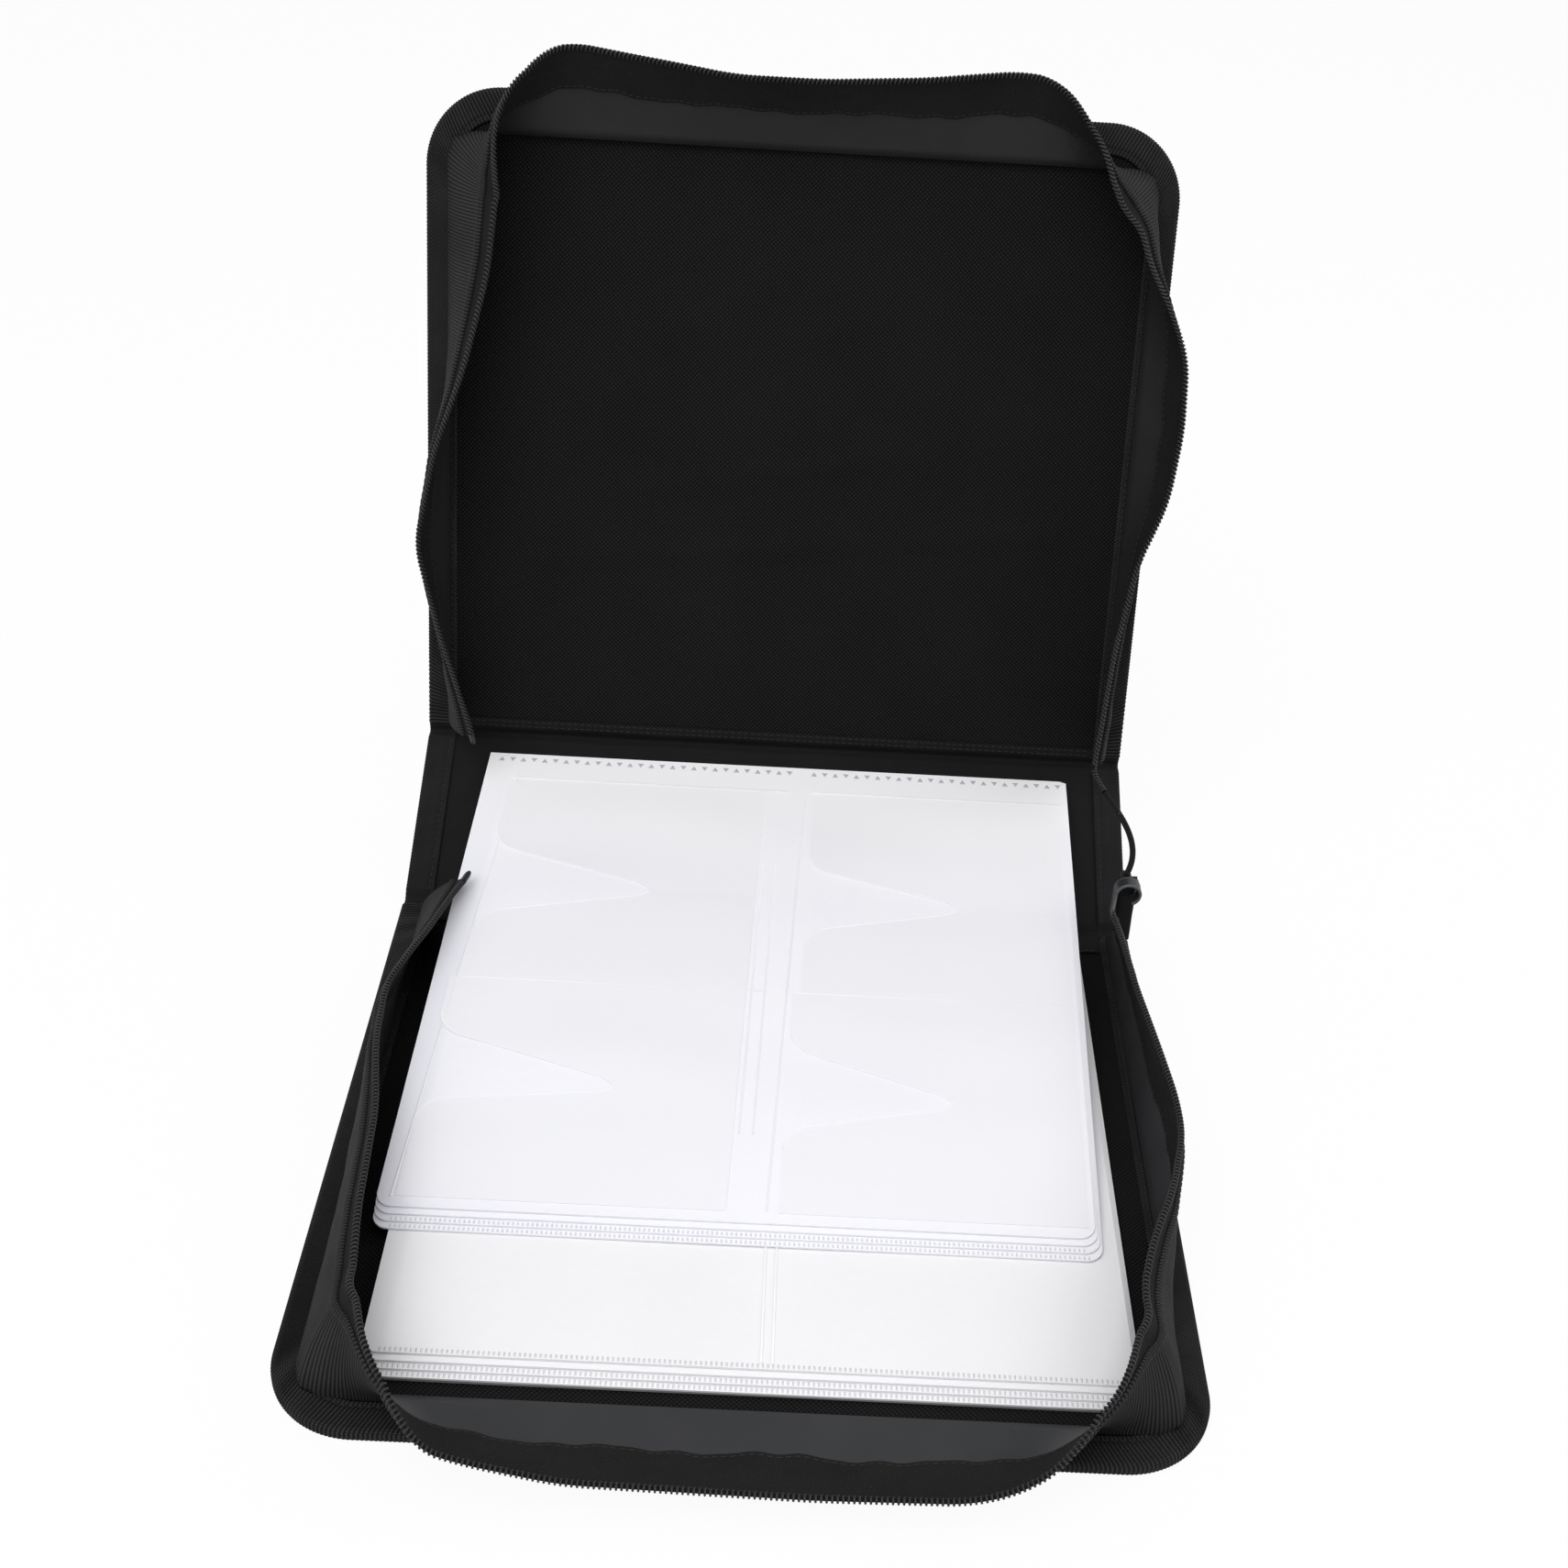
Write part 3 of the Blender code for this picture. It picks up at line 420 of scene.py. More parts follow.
# Cloth: weave, its two pitches, relief, roughness, dark and light. Coats: relief, roughness, dark, light.
finishes = dict(
    cover=cloth("coverOxford", "plain", 0.0009, 0.0009, 0.00022, 0.8, (0.003, 0.003, 0.0033),
                (0.022, 0.022, 0.024)),
    liner=dotted("dottedLiner", 0.0019, 0.00028, 0.85, (0.0002, 0.0002, 0.0003), (0.0165, 0.0150, 0.0155),
                 dotTone=3.6),
    lining=cloth("plainLining", "plain", 0.0006, 0.0006, 0.0001, 0.8, (0.005, 0.0045, 0.005),
                 (0.013, 0.012, 0.013)),
    binding=cloth("ribbedBinding", "ribs", 0.00165, 0.0010, 0.0004, 0.75, (0.0006, 0.0006, 0.0008),
                  (0.060, 0.058, 0.061), specular=0.08),
    spineBinding=cloth("spineTape", "herringbone", 0.0012, 0.0009, 0.0002, 0.75, (0.001, 0.001, 0.0012),
                       (0.026, 0.025, 0.027), specular=0.08),
    wallOut=cloth("ribbedWall", "ribs", 0.00145, 0.0008, 0.0003, 0.75, (0.0012, 0.0012, 0.0014),
                  (0.056, 0.053, 0.056), specular=0.1),
    wallIn=coated("greyCoating", 0.00006, 0.46, (0.017, 0.0175, 0.0190), (0.033, 0.034, 0.036), specular=0.35,
                  grain=1600.0, cloud=30.0),
    # The lid's inner wall takes a darker copy of the grey coating: painted shade on the lid's inside
    lidWallIn=coated("greyCoatingDark", 0.00006, 0.5, (0.009, 0.0092, 0.0100), (0.018, 0.0183, 0.0193),
                     specular=0.25, grain=1600.0, cloud=30.0),
    tape=cloth("zipTape", "herringbone", 0.0009, 0.0011, 0.00018, 0.8, (0.003, 0.003, 0.003),
               (0.016, 0.0155, 0.015)),
    teeth=coated("coilTeeth", 0.00001, 0.5, (0.014, 0.014, 0.0145), (0.034, 0.034, 0.035), specular=0.22,
                 grain=900.0),
    thread=coated("blackThread", 0.00004, 0.6, (0.008, 0.008, 0.009), (0.026, 0.026, 0.028), specular=0.2,
                  grain=3000.0),
    # Sleeve film: greyer left margin with painted shade beside the wall, and painted light near the bound edge
    film=coated("sleeveFilm", 0.00001, 0.4, (0.80, 0.80, 0.86), (0.90, 0.90, 0.93), specular=0.3, grain=300.0,
                cloud=12.0, shadedMargin=0.009, bound=0.09),
    # Pocket film is lighter near the bound edge: painted light
    pocket=coated("pocketFilm", 0.00001, 0.33, (0.80, 0.80, 0.84), (0.86, 0.86, 0.895), specular=0.35,
                  grain=300.0, cloud=14.0, bound=0.09),
    # Near-white wire along each thumb cut's edge: painted highlight on the film's cut edge
    rim=coated("filmRim", 0.00001, 0.35, (0.92, 0.92, 0.95), (0.96, 0.96, 0.98), specular=0.4, grain=300.0),
    # The pressed triangles are a darker grey than the film: painted shade in the embosses
    mark=coated("pressedFilm", 0.00001, 0.4, (0.40, 0.40, 0.46), (0.56, 0.56, 0.62), specular=0.3,
                grain=900.0),
    tick=coated("weldedFilm", 0.00001, 0.4, (0.66, 0.66, 0.71), (0.78, 0.78, 0.82), specular=0.3, grain=900.0),
    # Lower leaves: greyer left margin with painted shade beside the wall
    filmLow=coated("sleeveFilmLow", 0.00001, 0.4, (0.80, 0.80, 0.82), (0.90, 0.895, 0.915), specular=0.3,
                   grain=300.0, cloud=12.0, shadedMargin=0.006),
    backing=coated("backingSheet", 0.00002, 0.5, (0.15, 0.17, 0.16), (0.24, 0.26, 0.25), specular=0.3),
    strip=cloth("pageStrip", "plain", 0.0006, 0.0006, 0.00008, 0.7, (0.62, 0.62, 0.64), (0.86, 0.86, 0.87)),
    loop=coated("coatedTape", 0.00003, 0.42, (0.010, 0.0105, 0.0115), (0.024, 0.025, 0.027), specular=0.35),
    loopEdge=coated("coatedEdge", 0.00003, 0.45, (0.040, 0.042, 0.045), (0.075, 0.078, 0.082), specular=0.4),
    tab=cloth("tabCloth", "ribs", 0.0008, 0.0008, 0.00012, 0.75, (0.004, 0.004, 0.004), (0.022, 0.021, 0.021)),
    metal=coated("sliderPaint", 0.00001, 0.35, (0.02, 0.02, 0.021), (0.04, 0.04, 0.042), specular=0.5,
                 metal=0.6),
    board=coated("greyBoard", 0.00003, 0.8, (0.15, 0.15, 0.14), (0.2, 0.2, 0.19)),
)
print("case: finishes made")


# Walls, zip tapes and teeth

wallSizes = dict(rimInset=0.0120, footSide=0.0098, footFar=dict(base=0.0140, lid=0.0185), footStart=0.008,
                 footRise=0.0020, boxRadius=0.013, rimRadius=0.034, slant=0.0310, rim=0.0366, bow=0.0025,
                 thick=0.0008, endReach=0.1, softening=(-0.009, -0.0045, 0.0, 0.0045, 0.009), levels=9,
                 ripple=0.0005, stations=1200, hem=0.0032, hemSwell=0.0005, ridge=0.0011, ridgeWidth=0.0026,
                 stitchBelow=0.0018, rimEnds=dict(base=(0.020, 0.032), lid=(0.002, 0.006)))
# How far each rim leans outwards, from the left fold round to the right fold: place, degrees
leans = {
    "base": (
        (0.00, -34), (0.07, -18), (0.12, -1), (0.16, -4), (0.205, -15), (0.265, -20), (0.300, -26),
        (0.340, -10), (0.354, 26), (0.370, 62), (0.388, 69), (0.430, 79), (0.530, 82), (0.594, 80),
        (0.616, 70), (0.632, 54), (0.646, 28), (0.664, -10), (0.708, -23), (0.737, -12), (0.767, 4),
        (0.804, 16), (0.828, 16), (0.860, 11), (0.907, 3), (1.00, -4),
    ),
    "lid": (
        (0.00, -22), (0.064, 3), (0.111, 19), (0.164, 5), (0.205, -14), (0.257, -31), (0.305, -38),
        (0.332, -22), (0.350, 20), (0.364, 50), (0.378, 58), (0.408, 50), (0.462, 38), (0.507, 38),
        (0.560, 44), (0.608, 55), (0.626, 50), (0.642, 24), (0.657, -10), (0.682, -22), (0.719, -7),
        (0.742, 11), (0.769, 28), (0.806, 31), (0.844, 25), (0.880, 7), (0.928, -2), (1.00, -8),
    ),
}


def edgeRoute(share, radius, sideInset, farInset, start):
    # A panel's left side, two round corners and right side, by share of length: across and distance
    # from the fold at each spot, and the way out from it
    half, length = halfWidth - sideInset, panelDepth - farInset
    side, turn, far = length - radius - start, radius * math.pi / 2, 2 * (half - radius)
    run = np.asarray(share) * (2 * side + 2 * turn + far)
    first = np.clip((run - side) / turn, 0, 1) * math.pi / 2
    second = np.clip((run - side - turn - far) / turn, 0, 1) * math.pi / 2
    x = -half + radius * (1 - np.cos(first)) + np.clip(run - side - turn, 0, far) + radius * np.sin(second)
    away = (start + np.clip(run, 0, side) + radius * np.sin(first) - radius * (1 - np.cos(second))
            - np.clip(run - side - 2 * turn - far, 0, side))
    return np.stack([x, away], axis=-1), np.stack([-np.cos(first + second), np.sin(first + second)], axis=-1)


def wallFoot(half, share):
    sizes = wallSizes
    return edgeRoute(share, sizes["boxRadius"], sizes["footSide"], sizes["footFar"][half], sizes["footStart"])


def wallFlat(half, share, slants):
    # The wall in the panel's own three directions. The foot's corners are nearly square and the rim's
    # are round, the rim leans out by the softened lean angle, and the cloth bows a little in between.
    sizes, ends = wallSizes, wallSizes["rimEnds"][half]
    nearStart, nearEnd = [np.clip(1 - part / sizes["endReach"], 0, 1) ** 2 for part in (share, 1 - share)]
    foot, _ = wallFoot(half, share)
    rim, out = edgeRoute(share + (ends[0] * nearStart - ends[1] * nearEnd) / rimLength, sizes["rimRadius"],
                         sizes["rimInset"], sizes["rimInset"], sizes["footStart"])
    where, degrees = np.array(leans[half]).T
    leaning = [np.interp(share + shift, where, degrees) for shift in sizes["softening"]]
    angle = np.radians(np.mean(leaning, axis=0))
    top = rim + out * (sizes["rim"] * np.sin(angle))[:, None]
    up = slants[None, :, None] / sizes["rim"]
    flat = foot[:, None] + (top - foot)[:, None] * up + out[:, None] * sizes["bow"] * np.sin(math.pi * up)
    height = bindingTop + layerGap + sizes["footRise"] + sizes["rim"] * np.cos(angle)[:, None] * up[..., 0]
    points = np.concatenate([flat, height[..., None]], axis=-1)
    return points, unit(np.cross(np.gradient(points, axis=0), np.gradient(points, axis=1)))


def slackWall(half, share, slants, seed):
    # The wall with its slack: four slow waves along it and up it, dying out at the foot and the rim
    flat, inner = wallFlat(half, share, slants)
    rng = np.random.default_rng(seed)
    u, v, total = share[:, None], slants[None] / wallSizes["rim"], 0
    for count in (17, 29, 47, 83):
        phase, tilt = rng.uniform(0, 6.28), rng.uniform(-3, 3)
        total = total + np.sin(u * count * math.pi + v * tilt + phase) * (17 / count) ** 0.6
    slack = total * wallSizes["ripple"] * np.sin(math.pi * np.clip(v, 0, 1)) ** 0.7 / 2
    return flat + inner * slack[..., None], inner


def buildWall(half, seed):
    # Ribbed cloth outside, a smooth coat inside, a folded hem along the top, and a ridge up each box
    # corner where the cloth is pinched
    sizes = wallSizes
    share = np.linspace(0, 1, sizes["stations"])
    hemStart = sizes["slant"] - sizes["hem"]
    slants = np.concatenate([np.linspace(0, hemStart, sizes["levels"]),
                             hemStart + sizes["hem"] * np.array([0.12, 0.3, 0.7, 0.92, 1.0])])
    flat, inner = slackWall(half, share, slants, seed)
    _, out = wallFoot(half, share)
    sharpness = np.abs(np.abs(out[:, 0]) - np.abs(out[:, 1]))
    for side in (share < 0.5, share >= 0.5):
        corner = share[side][np.argmin(sharpness[side])]
        near = np.exp(-((share - corner) * rimLength / sizes["ridgeWidth"]) ** 2)
        flat = flat - inner * (near[:, None] * (1 - slants / sizes["rim"]) * sizes["ridge"])[..., None]
    swell = np.interp(slants, hemStart + sizes["hem"] * np.array([0, 0.25, 0.85, 1.0]),
                      sizes["hemSwell"] * np.array([0, 1, 1, 0.2]))
    # Along the far edge the foot stands inside the binding and reaches down to the liner
    drop = sizes["footRise"] + smooth((out[:, 1] - 0.9) / 0.1) * (bindingTop - linerTop)
    faces = []
    for face in (flat + inner * sizes["thick"] / 2, flat - inner * (sizes["thick"] / 2 + swell)[..., None]):
        foot = face[:, :1] - drop[:, None, None] * np.array([0.0, 0.0, 1.0])
        faces.append(carried(half, np.concatenate([foot, face], axis=1)))
    # Inside, the lid's wall takes the darker copy of the grey coating: painted shade
    wall = slab(f"{half}WallCloth", *faces, "wallIn" if half == "base" else "lidWallIn", "wallOut", sharp=75)
    place(wall, half, "wall_cloth", f"{half}_wall")

    seam, inner = slackWall(half, np.linspace(0, 1, 700),
                            np.array([sizes["slant"] - sizes["stitchBelow"], sizes["slant"]]), seed)
    path = carried(half, seam[:, 0] - inner[:, 0] * (sizes["thick"] / 2 + sizes["hemSwell"]))
    sew(f"{half}WallStitches", half, "wall_cloth", path, -turned(half, inner[:, 0]))
    buildZip(half, seed)


zipSizes = dict(width=0.0175, thick=0.0006, tapeOver=0.0007, coilGap=0.0006, coilRadius=0.0013, pitch=0.0018,
                wire=0.00046, tall=0.0012, deep=0.00085, sides=6, turnPoints=10, waviness=0.0009,
                tapeLevels=7, clear=0.0002, edgeStitch=0.0013,
                tip=dict(base=(0.0095, 0.0017, -0.004), lid=(0.0050, 0.0015, -0.002)))   # length, radius, lead
coilLines = {}


def coilAlong(name, line, inward):
    # The teeth: one long oval coil of round wire about a path, its flat way facing inwards. The wire
    # crosses both faces square and moves on to the next tooth along its lower edge.
    sizes, run = zipSizes, runOf(line)
    turns = int(run[-1] / sizes["pitch"])
    at = np.linspace(0, run[-1], turns * sizes["turnPoints"] + 1)
    middle, thick = readAt(line, run, at), unit(readAt(inward, run, at))
    along = unit(np.gradient(middle, axis=0))
    tall = unit(np.cross(along, thick))
    onward = np.linspace(0, turns, len(at))
    phase = onward - np.floor(onward)
    angle = (2 * math.pi * onward)[:, None]
    middle = middle + along * ((smooth((phase - 0.3) / 0.4) - phase) * sizes["pitch"])[:, None]
    coil = middle + tall * np.cos(angle) * sizes["tall"] + thick * np.sin(angle) * sizes["deep"]
    return wire(name, coil, along, sizes["wire"], sizes["sides"], "teeth")


def buildZip(half, seed):
    # The tape lies inside the wall with a wavy, stitched lower edge, the teeth run along its top, and
    # the left end of the coil is capped by a rounded, flattened sleeve of coated tape
    sizes = zipSizes
    share = np.linspace(0, 1, 900)
    rng = np.random.default_rng(seed + 50)
    slants = np.linspace(wallSizes["rim"] - sizes["coilRadius"] - sizes["coilGap"] - sizes["width"],
                         wallSizes["rim"] + sizes["tapeOver"], sizes["tapeLevels"])
    flat, inner = slackWall(half, share, slants, seed)
    counts = enumerate((14, 37, 61), 1)
    waves = sum(np.sin(share * count * 6.28 + rng.uniform(0, 6)) / n for n, count in counts)
    down = unit(flat[:, 0] - flat[:, -1])
    fade = np.linspace(1, 0, sizes["tapeLevels"])[None, :, None] ** 2
    flat = flat + down[:, None] * (waves * sizes["waviness"])[:, None, None] * fade
    outside = flat + inner * (wallSizes["thick"] / 2 + sizes["clear"])
    inside = outside + inner * sizes["thick"]
    tape = slab(f"{half}ZipTape", carried(half, inside), carried(half, outside), "tape")
    place(tape, half, "zip_tape", f"{half}_zip_tape")
    edge = carried(half, inside[:, 0] - down * sizes["edgeStitch"])
    sew(f"{half}TapeStitches", half, "zip_tape", edge, turned(half, inner[:, 0]), "tape")

    path, inward = wallFlat(half, share, np.array([wallSizes["rim"] - 0.001, wallSizes["rim"]]))
    path = path[:, 1] + inward[:, 1] * (wallSizes["thick"] / 2 + layerGap + sizes["thick"] / 2)
    line, inward = carried(half, path), turned(half, inward[:, 1])
    coilLines[half] = line
    place(coilAlong(f"{half}Teeth", line, inward), half, "zip_coil", f"{half}_zip_teeth")
    length, radius, lead = sizes["tip"][half]
    share = np.linspace(0, 1, 14)
    path = line[0] + unit(line[0] - line[8]) * (lead + length * share)[:, None]
    radius = radius * np.sqrt(np.clip(1 - (2 * np.clip(share - 0.5, 0, 0.499)) ** 2.4, 0.01, 1))
    place(wire(f"{half}CoilTip", path, inward[0], radius, 12, "loop", 0.8), half, "coated_tape")


buildWall("base", 3)
buildWall("lid", 8)
print("case: walls and zip made")


# Ribbed binding round the panels, along the spine's short edges and across the folds

bindingSizes = dict(lap=0.0130, thick=0.0008, radius=0.033, foldRoom=0.0052, ribPitch=0.00165, ribSamples=3,
                    ribHeight=0.00036, seam=0.0107, groove=0.00045, slantShare=0.55, edgeRound=0.0013,
                    foldReach=0.0064, pinch=0.45, foldLower=0.97, spineRib=0.4)


def bindingProfile():
    # The folded tape's section as inset, height and how much a rib lifts that spot: along its upper
    # leaf with a stitched groove, round the bend, and back along its underside and inside
    sizes = bindingSizes
    lap, thick, seam, r = sizes["lap"], sizes["thick"], sizes["seam"], sizes["edgeRound"]
    low, high = -thick / 2, bindingTop
    turn = np.linspace(0, math.pi / 2, 4)
    upper = [(lap, high - thick * 0.4, 0.0), (lap - 0.0004, high, 0.6), (seam + 0.0009, high, 0.7),
             (seam, high - sizes["groove"], 0.0), (seam - 0.0009, high, 0.8)]
    upper += [(at, high, 1.0) for at in np.linspace(seam - 0.0022, r * 1.6, 5)]
    bend = [(r - r * math.sin(a), high - r + r * math.cos(a), 1.0) for a in turn]
    lowBend = [(r - r * math.cos(a), low + r - r * math.sin(a), 1.0 - a / 2) for a in turn]
    under = [(lap, low, 0.0), (lap, low + thick, 0.0), (thick * 1.6, low + thick, 0.0),
             (thick * 1.2, (low + high) / 2, 0.0), (thick * 1.6, high - thick, 0.0), (lap, high - thick, 0.0)]
    return upper + bend + lowBend + under


def foldedTape(name, spotOf, rib, lower=1.0, skin="spineBinding"):
    # Carries the section along an edge: spotOf turns an inset and a height into points along it. A rib
    # lifts the upper leaf and pushes the bend outwards; lower squeezes the section down, as at a fold
    columns = []
    for inset, height, lift in bindingProfile():
        bend = inset < bindingSizes["edgeRound"]
        upwards = rib * lift * (height > bindingTop / 2) * (not bend)
        columns.append(spotOf(inset - rib * lift * bend, height * lower + upwards))
    return tube(name, np.stack(columns, axis=1), skin)


def ribsAlong(length):
    samples = bindingSizes["ribSamples"]
    rows = max(2, int(length / bindingSizes["ribPitch"])) * samples
    return np.abs(np.sin(math.pi * np.arange(rows + 1) / samples)) * bindingSizes["ribHeight"]


def buildBinding(half):
    # Ribs run slantwise along the two sides and straight across at the far edge
    sizes = bindingSizes
    rib = ribsAlong(rimLength)
    spots = np.linspace(0, 1, len(rib))
    slant = sizes["slantShare"] * (1 - smooth((0.19 - np.abs(spots - 0.5)) / 0.06 + 0.5))
    slant = slant * smooth(np.minimum(spots, 1 - spots) / 0.03) * np.sign(0.5 - spots)

    def flangeSpot(inset, height, share):
        route, _ = edgeRoute(share, sizes["radius"] - inset, inset, inset, sizes["foldRoom"])
        return onPanel(half, route[:, 0], route[:, 1], height)

    def spotOf(inset, height):
        return flangeSpot(inset, height, spots + np.clip(sizes["lap"] - inset, 0, None) * slant / rimLength)

    place(foldedTape(f"{half}Flange", spotOf, rib, skin="binding"), half, "binding_tape", f"{half}_binding")
    path = flangeSpot(sizes["seam"], bindingTop - sizes["groove"] * 0.5, np.linspace(0, 1, 900))
    sew(f"{half}FlangeStitches", half, "binding_tape", path, upFrom(half))


def buildSpineBinding(side, hand):
    # Straight tape on the spine, and a squeezed bit of it across each of the two folds
    sizes = bindingSizes
    rib = ribsAlong(spineDepth - 2 * sizes["foldRoom"])
    along = np.linspace(sizes["foldRoom"], spineDepth - sizes["foldRoom"], len(rib))

    def onTape(inset, height):
        return onPanel("spine", hand * (halfWidth - inset), along, height)

    piece = foldedTape(f"spineBinding{side}", onTape, rib * sizes["spineRib"])
    place(piece, "spine", "binding_tape", f"spine_binding_{side.lower()}")
    path = onTape(sizes["seam"], bindingTop - sizes["groove"] * 0.5)
    sew(f"spineStitches{side}", "spine", "binding_tape", path, upFrom("spine"))
    for fold, bodies in foldBodies.items():
        rib = ribsAlong(2 * sizes["foldReach"])
        spot = np.linspace(-sizes["foldReach"], sizes["foldReach"], len(rib))
        squeeze = 1 - sizes["pinch"] * np.cos(math.pi / 2 * spot / sizes["foldReach"]) ** 2
        piece = foldedTape(f"{fold}FoldBinding{side}",
                           lambda inset, height: acrossFold(fold, hand * (halfWidth - inset), spot, height),
                           rib * sizes["spineRib"], squeeze * sizes["foldLower"])
        place(piece, bodies, "binding_tape", ends=foldEnds(fold))


for half in halves:
    buildBinding(half)
for side, hand in (("Left", -1), ("Right", 1)):
    buildSpineBinding(side, hand)
print("case: binding made")


# Covers, liners and lining

clothSizes = dict(coverThick=0.0008, linerThick=0.0005, coverInset=0.0133, linerInset=0.0011, foldRoom=0.0052,
                  foldReach=0.0070, hemHalf=0.1511, baseHem=0.016, lidHem=0.009, overFold=0.0075, hemLift=0.0002,
                  liningThick=0.0005, corner=0.0319, coverCorner=0.0197, quilting=0.00012, slack=0.0003,
                  linerGrid=dict(base=(60, 70), lid=(130, 110)))
# Soft creases in the lid's liner: where each starts and ends as across and distance from the fold, its
# height and its half width
linerCreases = (((-0.088, 0.118), (0.078, 0.148), 0.0014, 0.0060),
                ((-0.125, 0.086), (0.136, 0.112), 0.0012, 0.0055),
                ((-0.110, 0.205), (0.020, 0.190), 0.0004, 0.0110),
                ((0.030, 0.240), (0.120, 0.215), 0.0004, 0.0120))


def leafGrid(left, right, back, front, corner, rows, columns):
    # Across and lengthways positions over a leaf whose two front corners are round
    down = np.linspace(0, 1, rows)
    bend = corner / (back - front)
    down = np.concatenate([down[:-1] * (1 - bend), 1 - bend * (1 - np.sin(np.linspace(0, math.pi / 2, 9)))])
    y = back + (front - back) * down
    pull = corner * (1 - np.sqrt(1 - np.clip((front + corner - y) / corner, 0, 1) ** 2))
    x = (left + pull)[:, None] + (right - left - 2 * pull)[:, None] * np.linspace(0, 1, columns)
    return x, np.broadcast_to(y[:, None], x.shape)


def panelGrid(inset, start, corner, rows=60, columns=70):
    # The same over a panel, as across and distance from the fold
    x, y = leafGrid(inset - halfWidth, halfWidth - inset, -start, inset - panelDepth, corner, rows, columns)
    return x, -y


def slackOf(x, away, seed, reach):
    # Slow waves over a panel, never below zero
    rng = np.random.default_rng(seed)
    total = sum(np.sin(x * rng.uniform(20, 60) + away * rng.uniform(-60, 60) + rng.uniform(0, 6))
                for _ in range(4))
    return reach * (total / 4 + 1) / 2


def creaseLift(x, away):
    # A rounded ridge along each crease, dying out towards its ends
    total = 0
    for start, end, height, width in linerCreases:
        way = np.array(end) - np.array(start)
        span = np.linalg.norm(way)
        share = ((x - start[0]) * way[0] + (away - start[1]) * way[1]) / span ** 2
        off = ((x - start[0]) * way[1] - (away - start[1]) * way[0]) / span
        total = total + height * np.exp(-(off / width) ** 2) * np.sin(math.pi * np.clip(share, 0, 1)) ** 0.6
    return total


def withinTape(room):
    # 1 on the open cloth and 0 where the binding holds it down
    return smooth((room - clothSizes["coverInset"]) / 0.006)


def buildPanelCloths(half):
    sizes, lift, dent = clothSizes, 0.0, 0.0
    x, away = panelGrid(sizes["linerInset"], sizes["foldRoom"], sizes["corner"], *sizes["linerGrid"][half])
    if half == "lid":
        lift = slackOf(x, away, 5, sizes["slack"]) + creaseLift(x, away)
        lift = lift * withinTape(halfWidth - np.abs(x)) * withinTape(panelDepth - away)
    piece = slab(f"{half}Liner", onPanel(half, x, away, linerTop + lift),
                 onPanel(half, x, away, linerTop - sizes["linerThick"] + lift * 0.5), "liner")
    place(piece, half, "nonwoven_liner", f"{half}_liner")
    x, away = panelGrid(sizes["coverInset"], 0.0005, sizes["coverCorner"])
    if half == "lid":
        dent = slackOf(x, away, 9, sizes["quilting"])
    piece = slab(f"{half}Cover", onPanel(half, x, away, dent - sizes["coverThick"] / 2),
                 onPanel(half, x, away, sizes["coverThick"] / 2), "cover")
    place(piece, half, "cover_oxford", f"{half}_cover")


def buildSpineCloths():
    sizes = clothSizes
    half, thick = halfWidth - sizes["coverInset"], sizes["coverThick"] / 2
    x, along = np.meshgrid(np.linspace(-half, half, 60), np.linspace(0.0005, spineDepth - 0.0005, 20))
    piece = slab("spineCover", onPanel("spine", x, along, -thick), onPanel("spine", x, along, thick), "cover")
    place(piece, "spine", "cover_oxford", "spine_cover")
    half, room = halfWidth - sizes["linerInset"], sizes["foldRoom"]
    x, along = np.meshgrid(np.linspace(-half, half, 90), np.linspace(room, spineDepth - room, 30))
    lift = slackOf(x * 1.5, along * 3, 21, sizes["slack"]) * withinTape(halfWidth - np.abs(x))
    piece = slab("spineLining", onPanel("spine", x, along, linerTop + lift),
                 onPanel("spine", x, along, linerTop - sizes["liningThick"]), "lining")
    place(piece, "spine", "plain_lining", "spine_lining")


def buildFoldCloths(fold, body, hem, other, seams):
    # The cover and the lining run on across each fold: the cover's strip lies inside the cover, and
    # the lining's laps over the panels' liners as a stitched hem and dips a little into the fold
    sizes, ends = clothSizes, foldEnds(fold)
    half, reach = halfWidth - sizes["coverInset"] + 0.0006, sizes["foldReach"]
    x, along = np.meshgrid(np.linspace(-half, half, 60), np.linspace(-reach, reach, 25))
    thick = sizes["coverThick"] / 2 - 0.0001
    faces = [acrossFold(fold, x, along, height) for height in (-thick, thick)]
    place(slab(f"{fold}FoldCover", *faces, "cover"), foldBodies[fold], "cover_oxford", ends=ends)
    half, raised = sizes["hemHalf"], layerGap + sizes["liningThick"]
    x, along = np.meshgrid(np.linspace(-half, half, 110), np.linspace(hem, other, 34))
    onHem = smooth(along / hem * 1.7)
    slack = 0.0002 * np.sin(x * 97 + along * 60) * np.exp(-(along / 0.006) ** 2)
    pucker = 0.00012 * np.sin(x * 610) * onHem + slack
    dip = 0.0013 * np.exp(-(along / 0.0035) ** 2)
    top = linerTop + sizes["hemLift"] + onHem * raised - dip + pucker
    piece = slab(f"{fold}FoldLining", acrossFold(fold, x, along, top),
                 acrossFold(fold, x, along, top - sizes["liningThick"]), "lining")
    place(piece, foldBodies[fold], "plain_lining", f"lining_hem_{body}", ends=ends)
    line = np.linspace(0.002 - half, half - 0.002, 200)
    for number, spot in enumerate(seams):
        path = acrossFold(fold, line, spot, linerTop + sizes["hemLift"] + raised)
        sew(f"{fold}HemStitches{number + 1}", body, "plain_lining", path, upFrom(body), "hem")


for half in halves:
    buildPanelCloths(half)
buildSpineCloths()
buildFoldCloths("low", "base", -clothSizes["baseHem"], clothSizes["overFold"], (-0.0147,))
buildFoldCloths("high", "lid", clothSizes["lidHem"], -clothSizes["overFold"], (0.0078, 0.0056))
print("case: covers, liners and lining made")


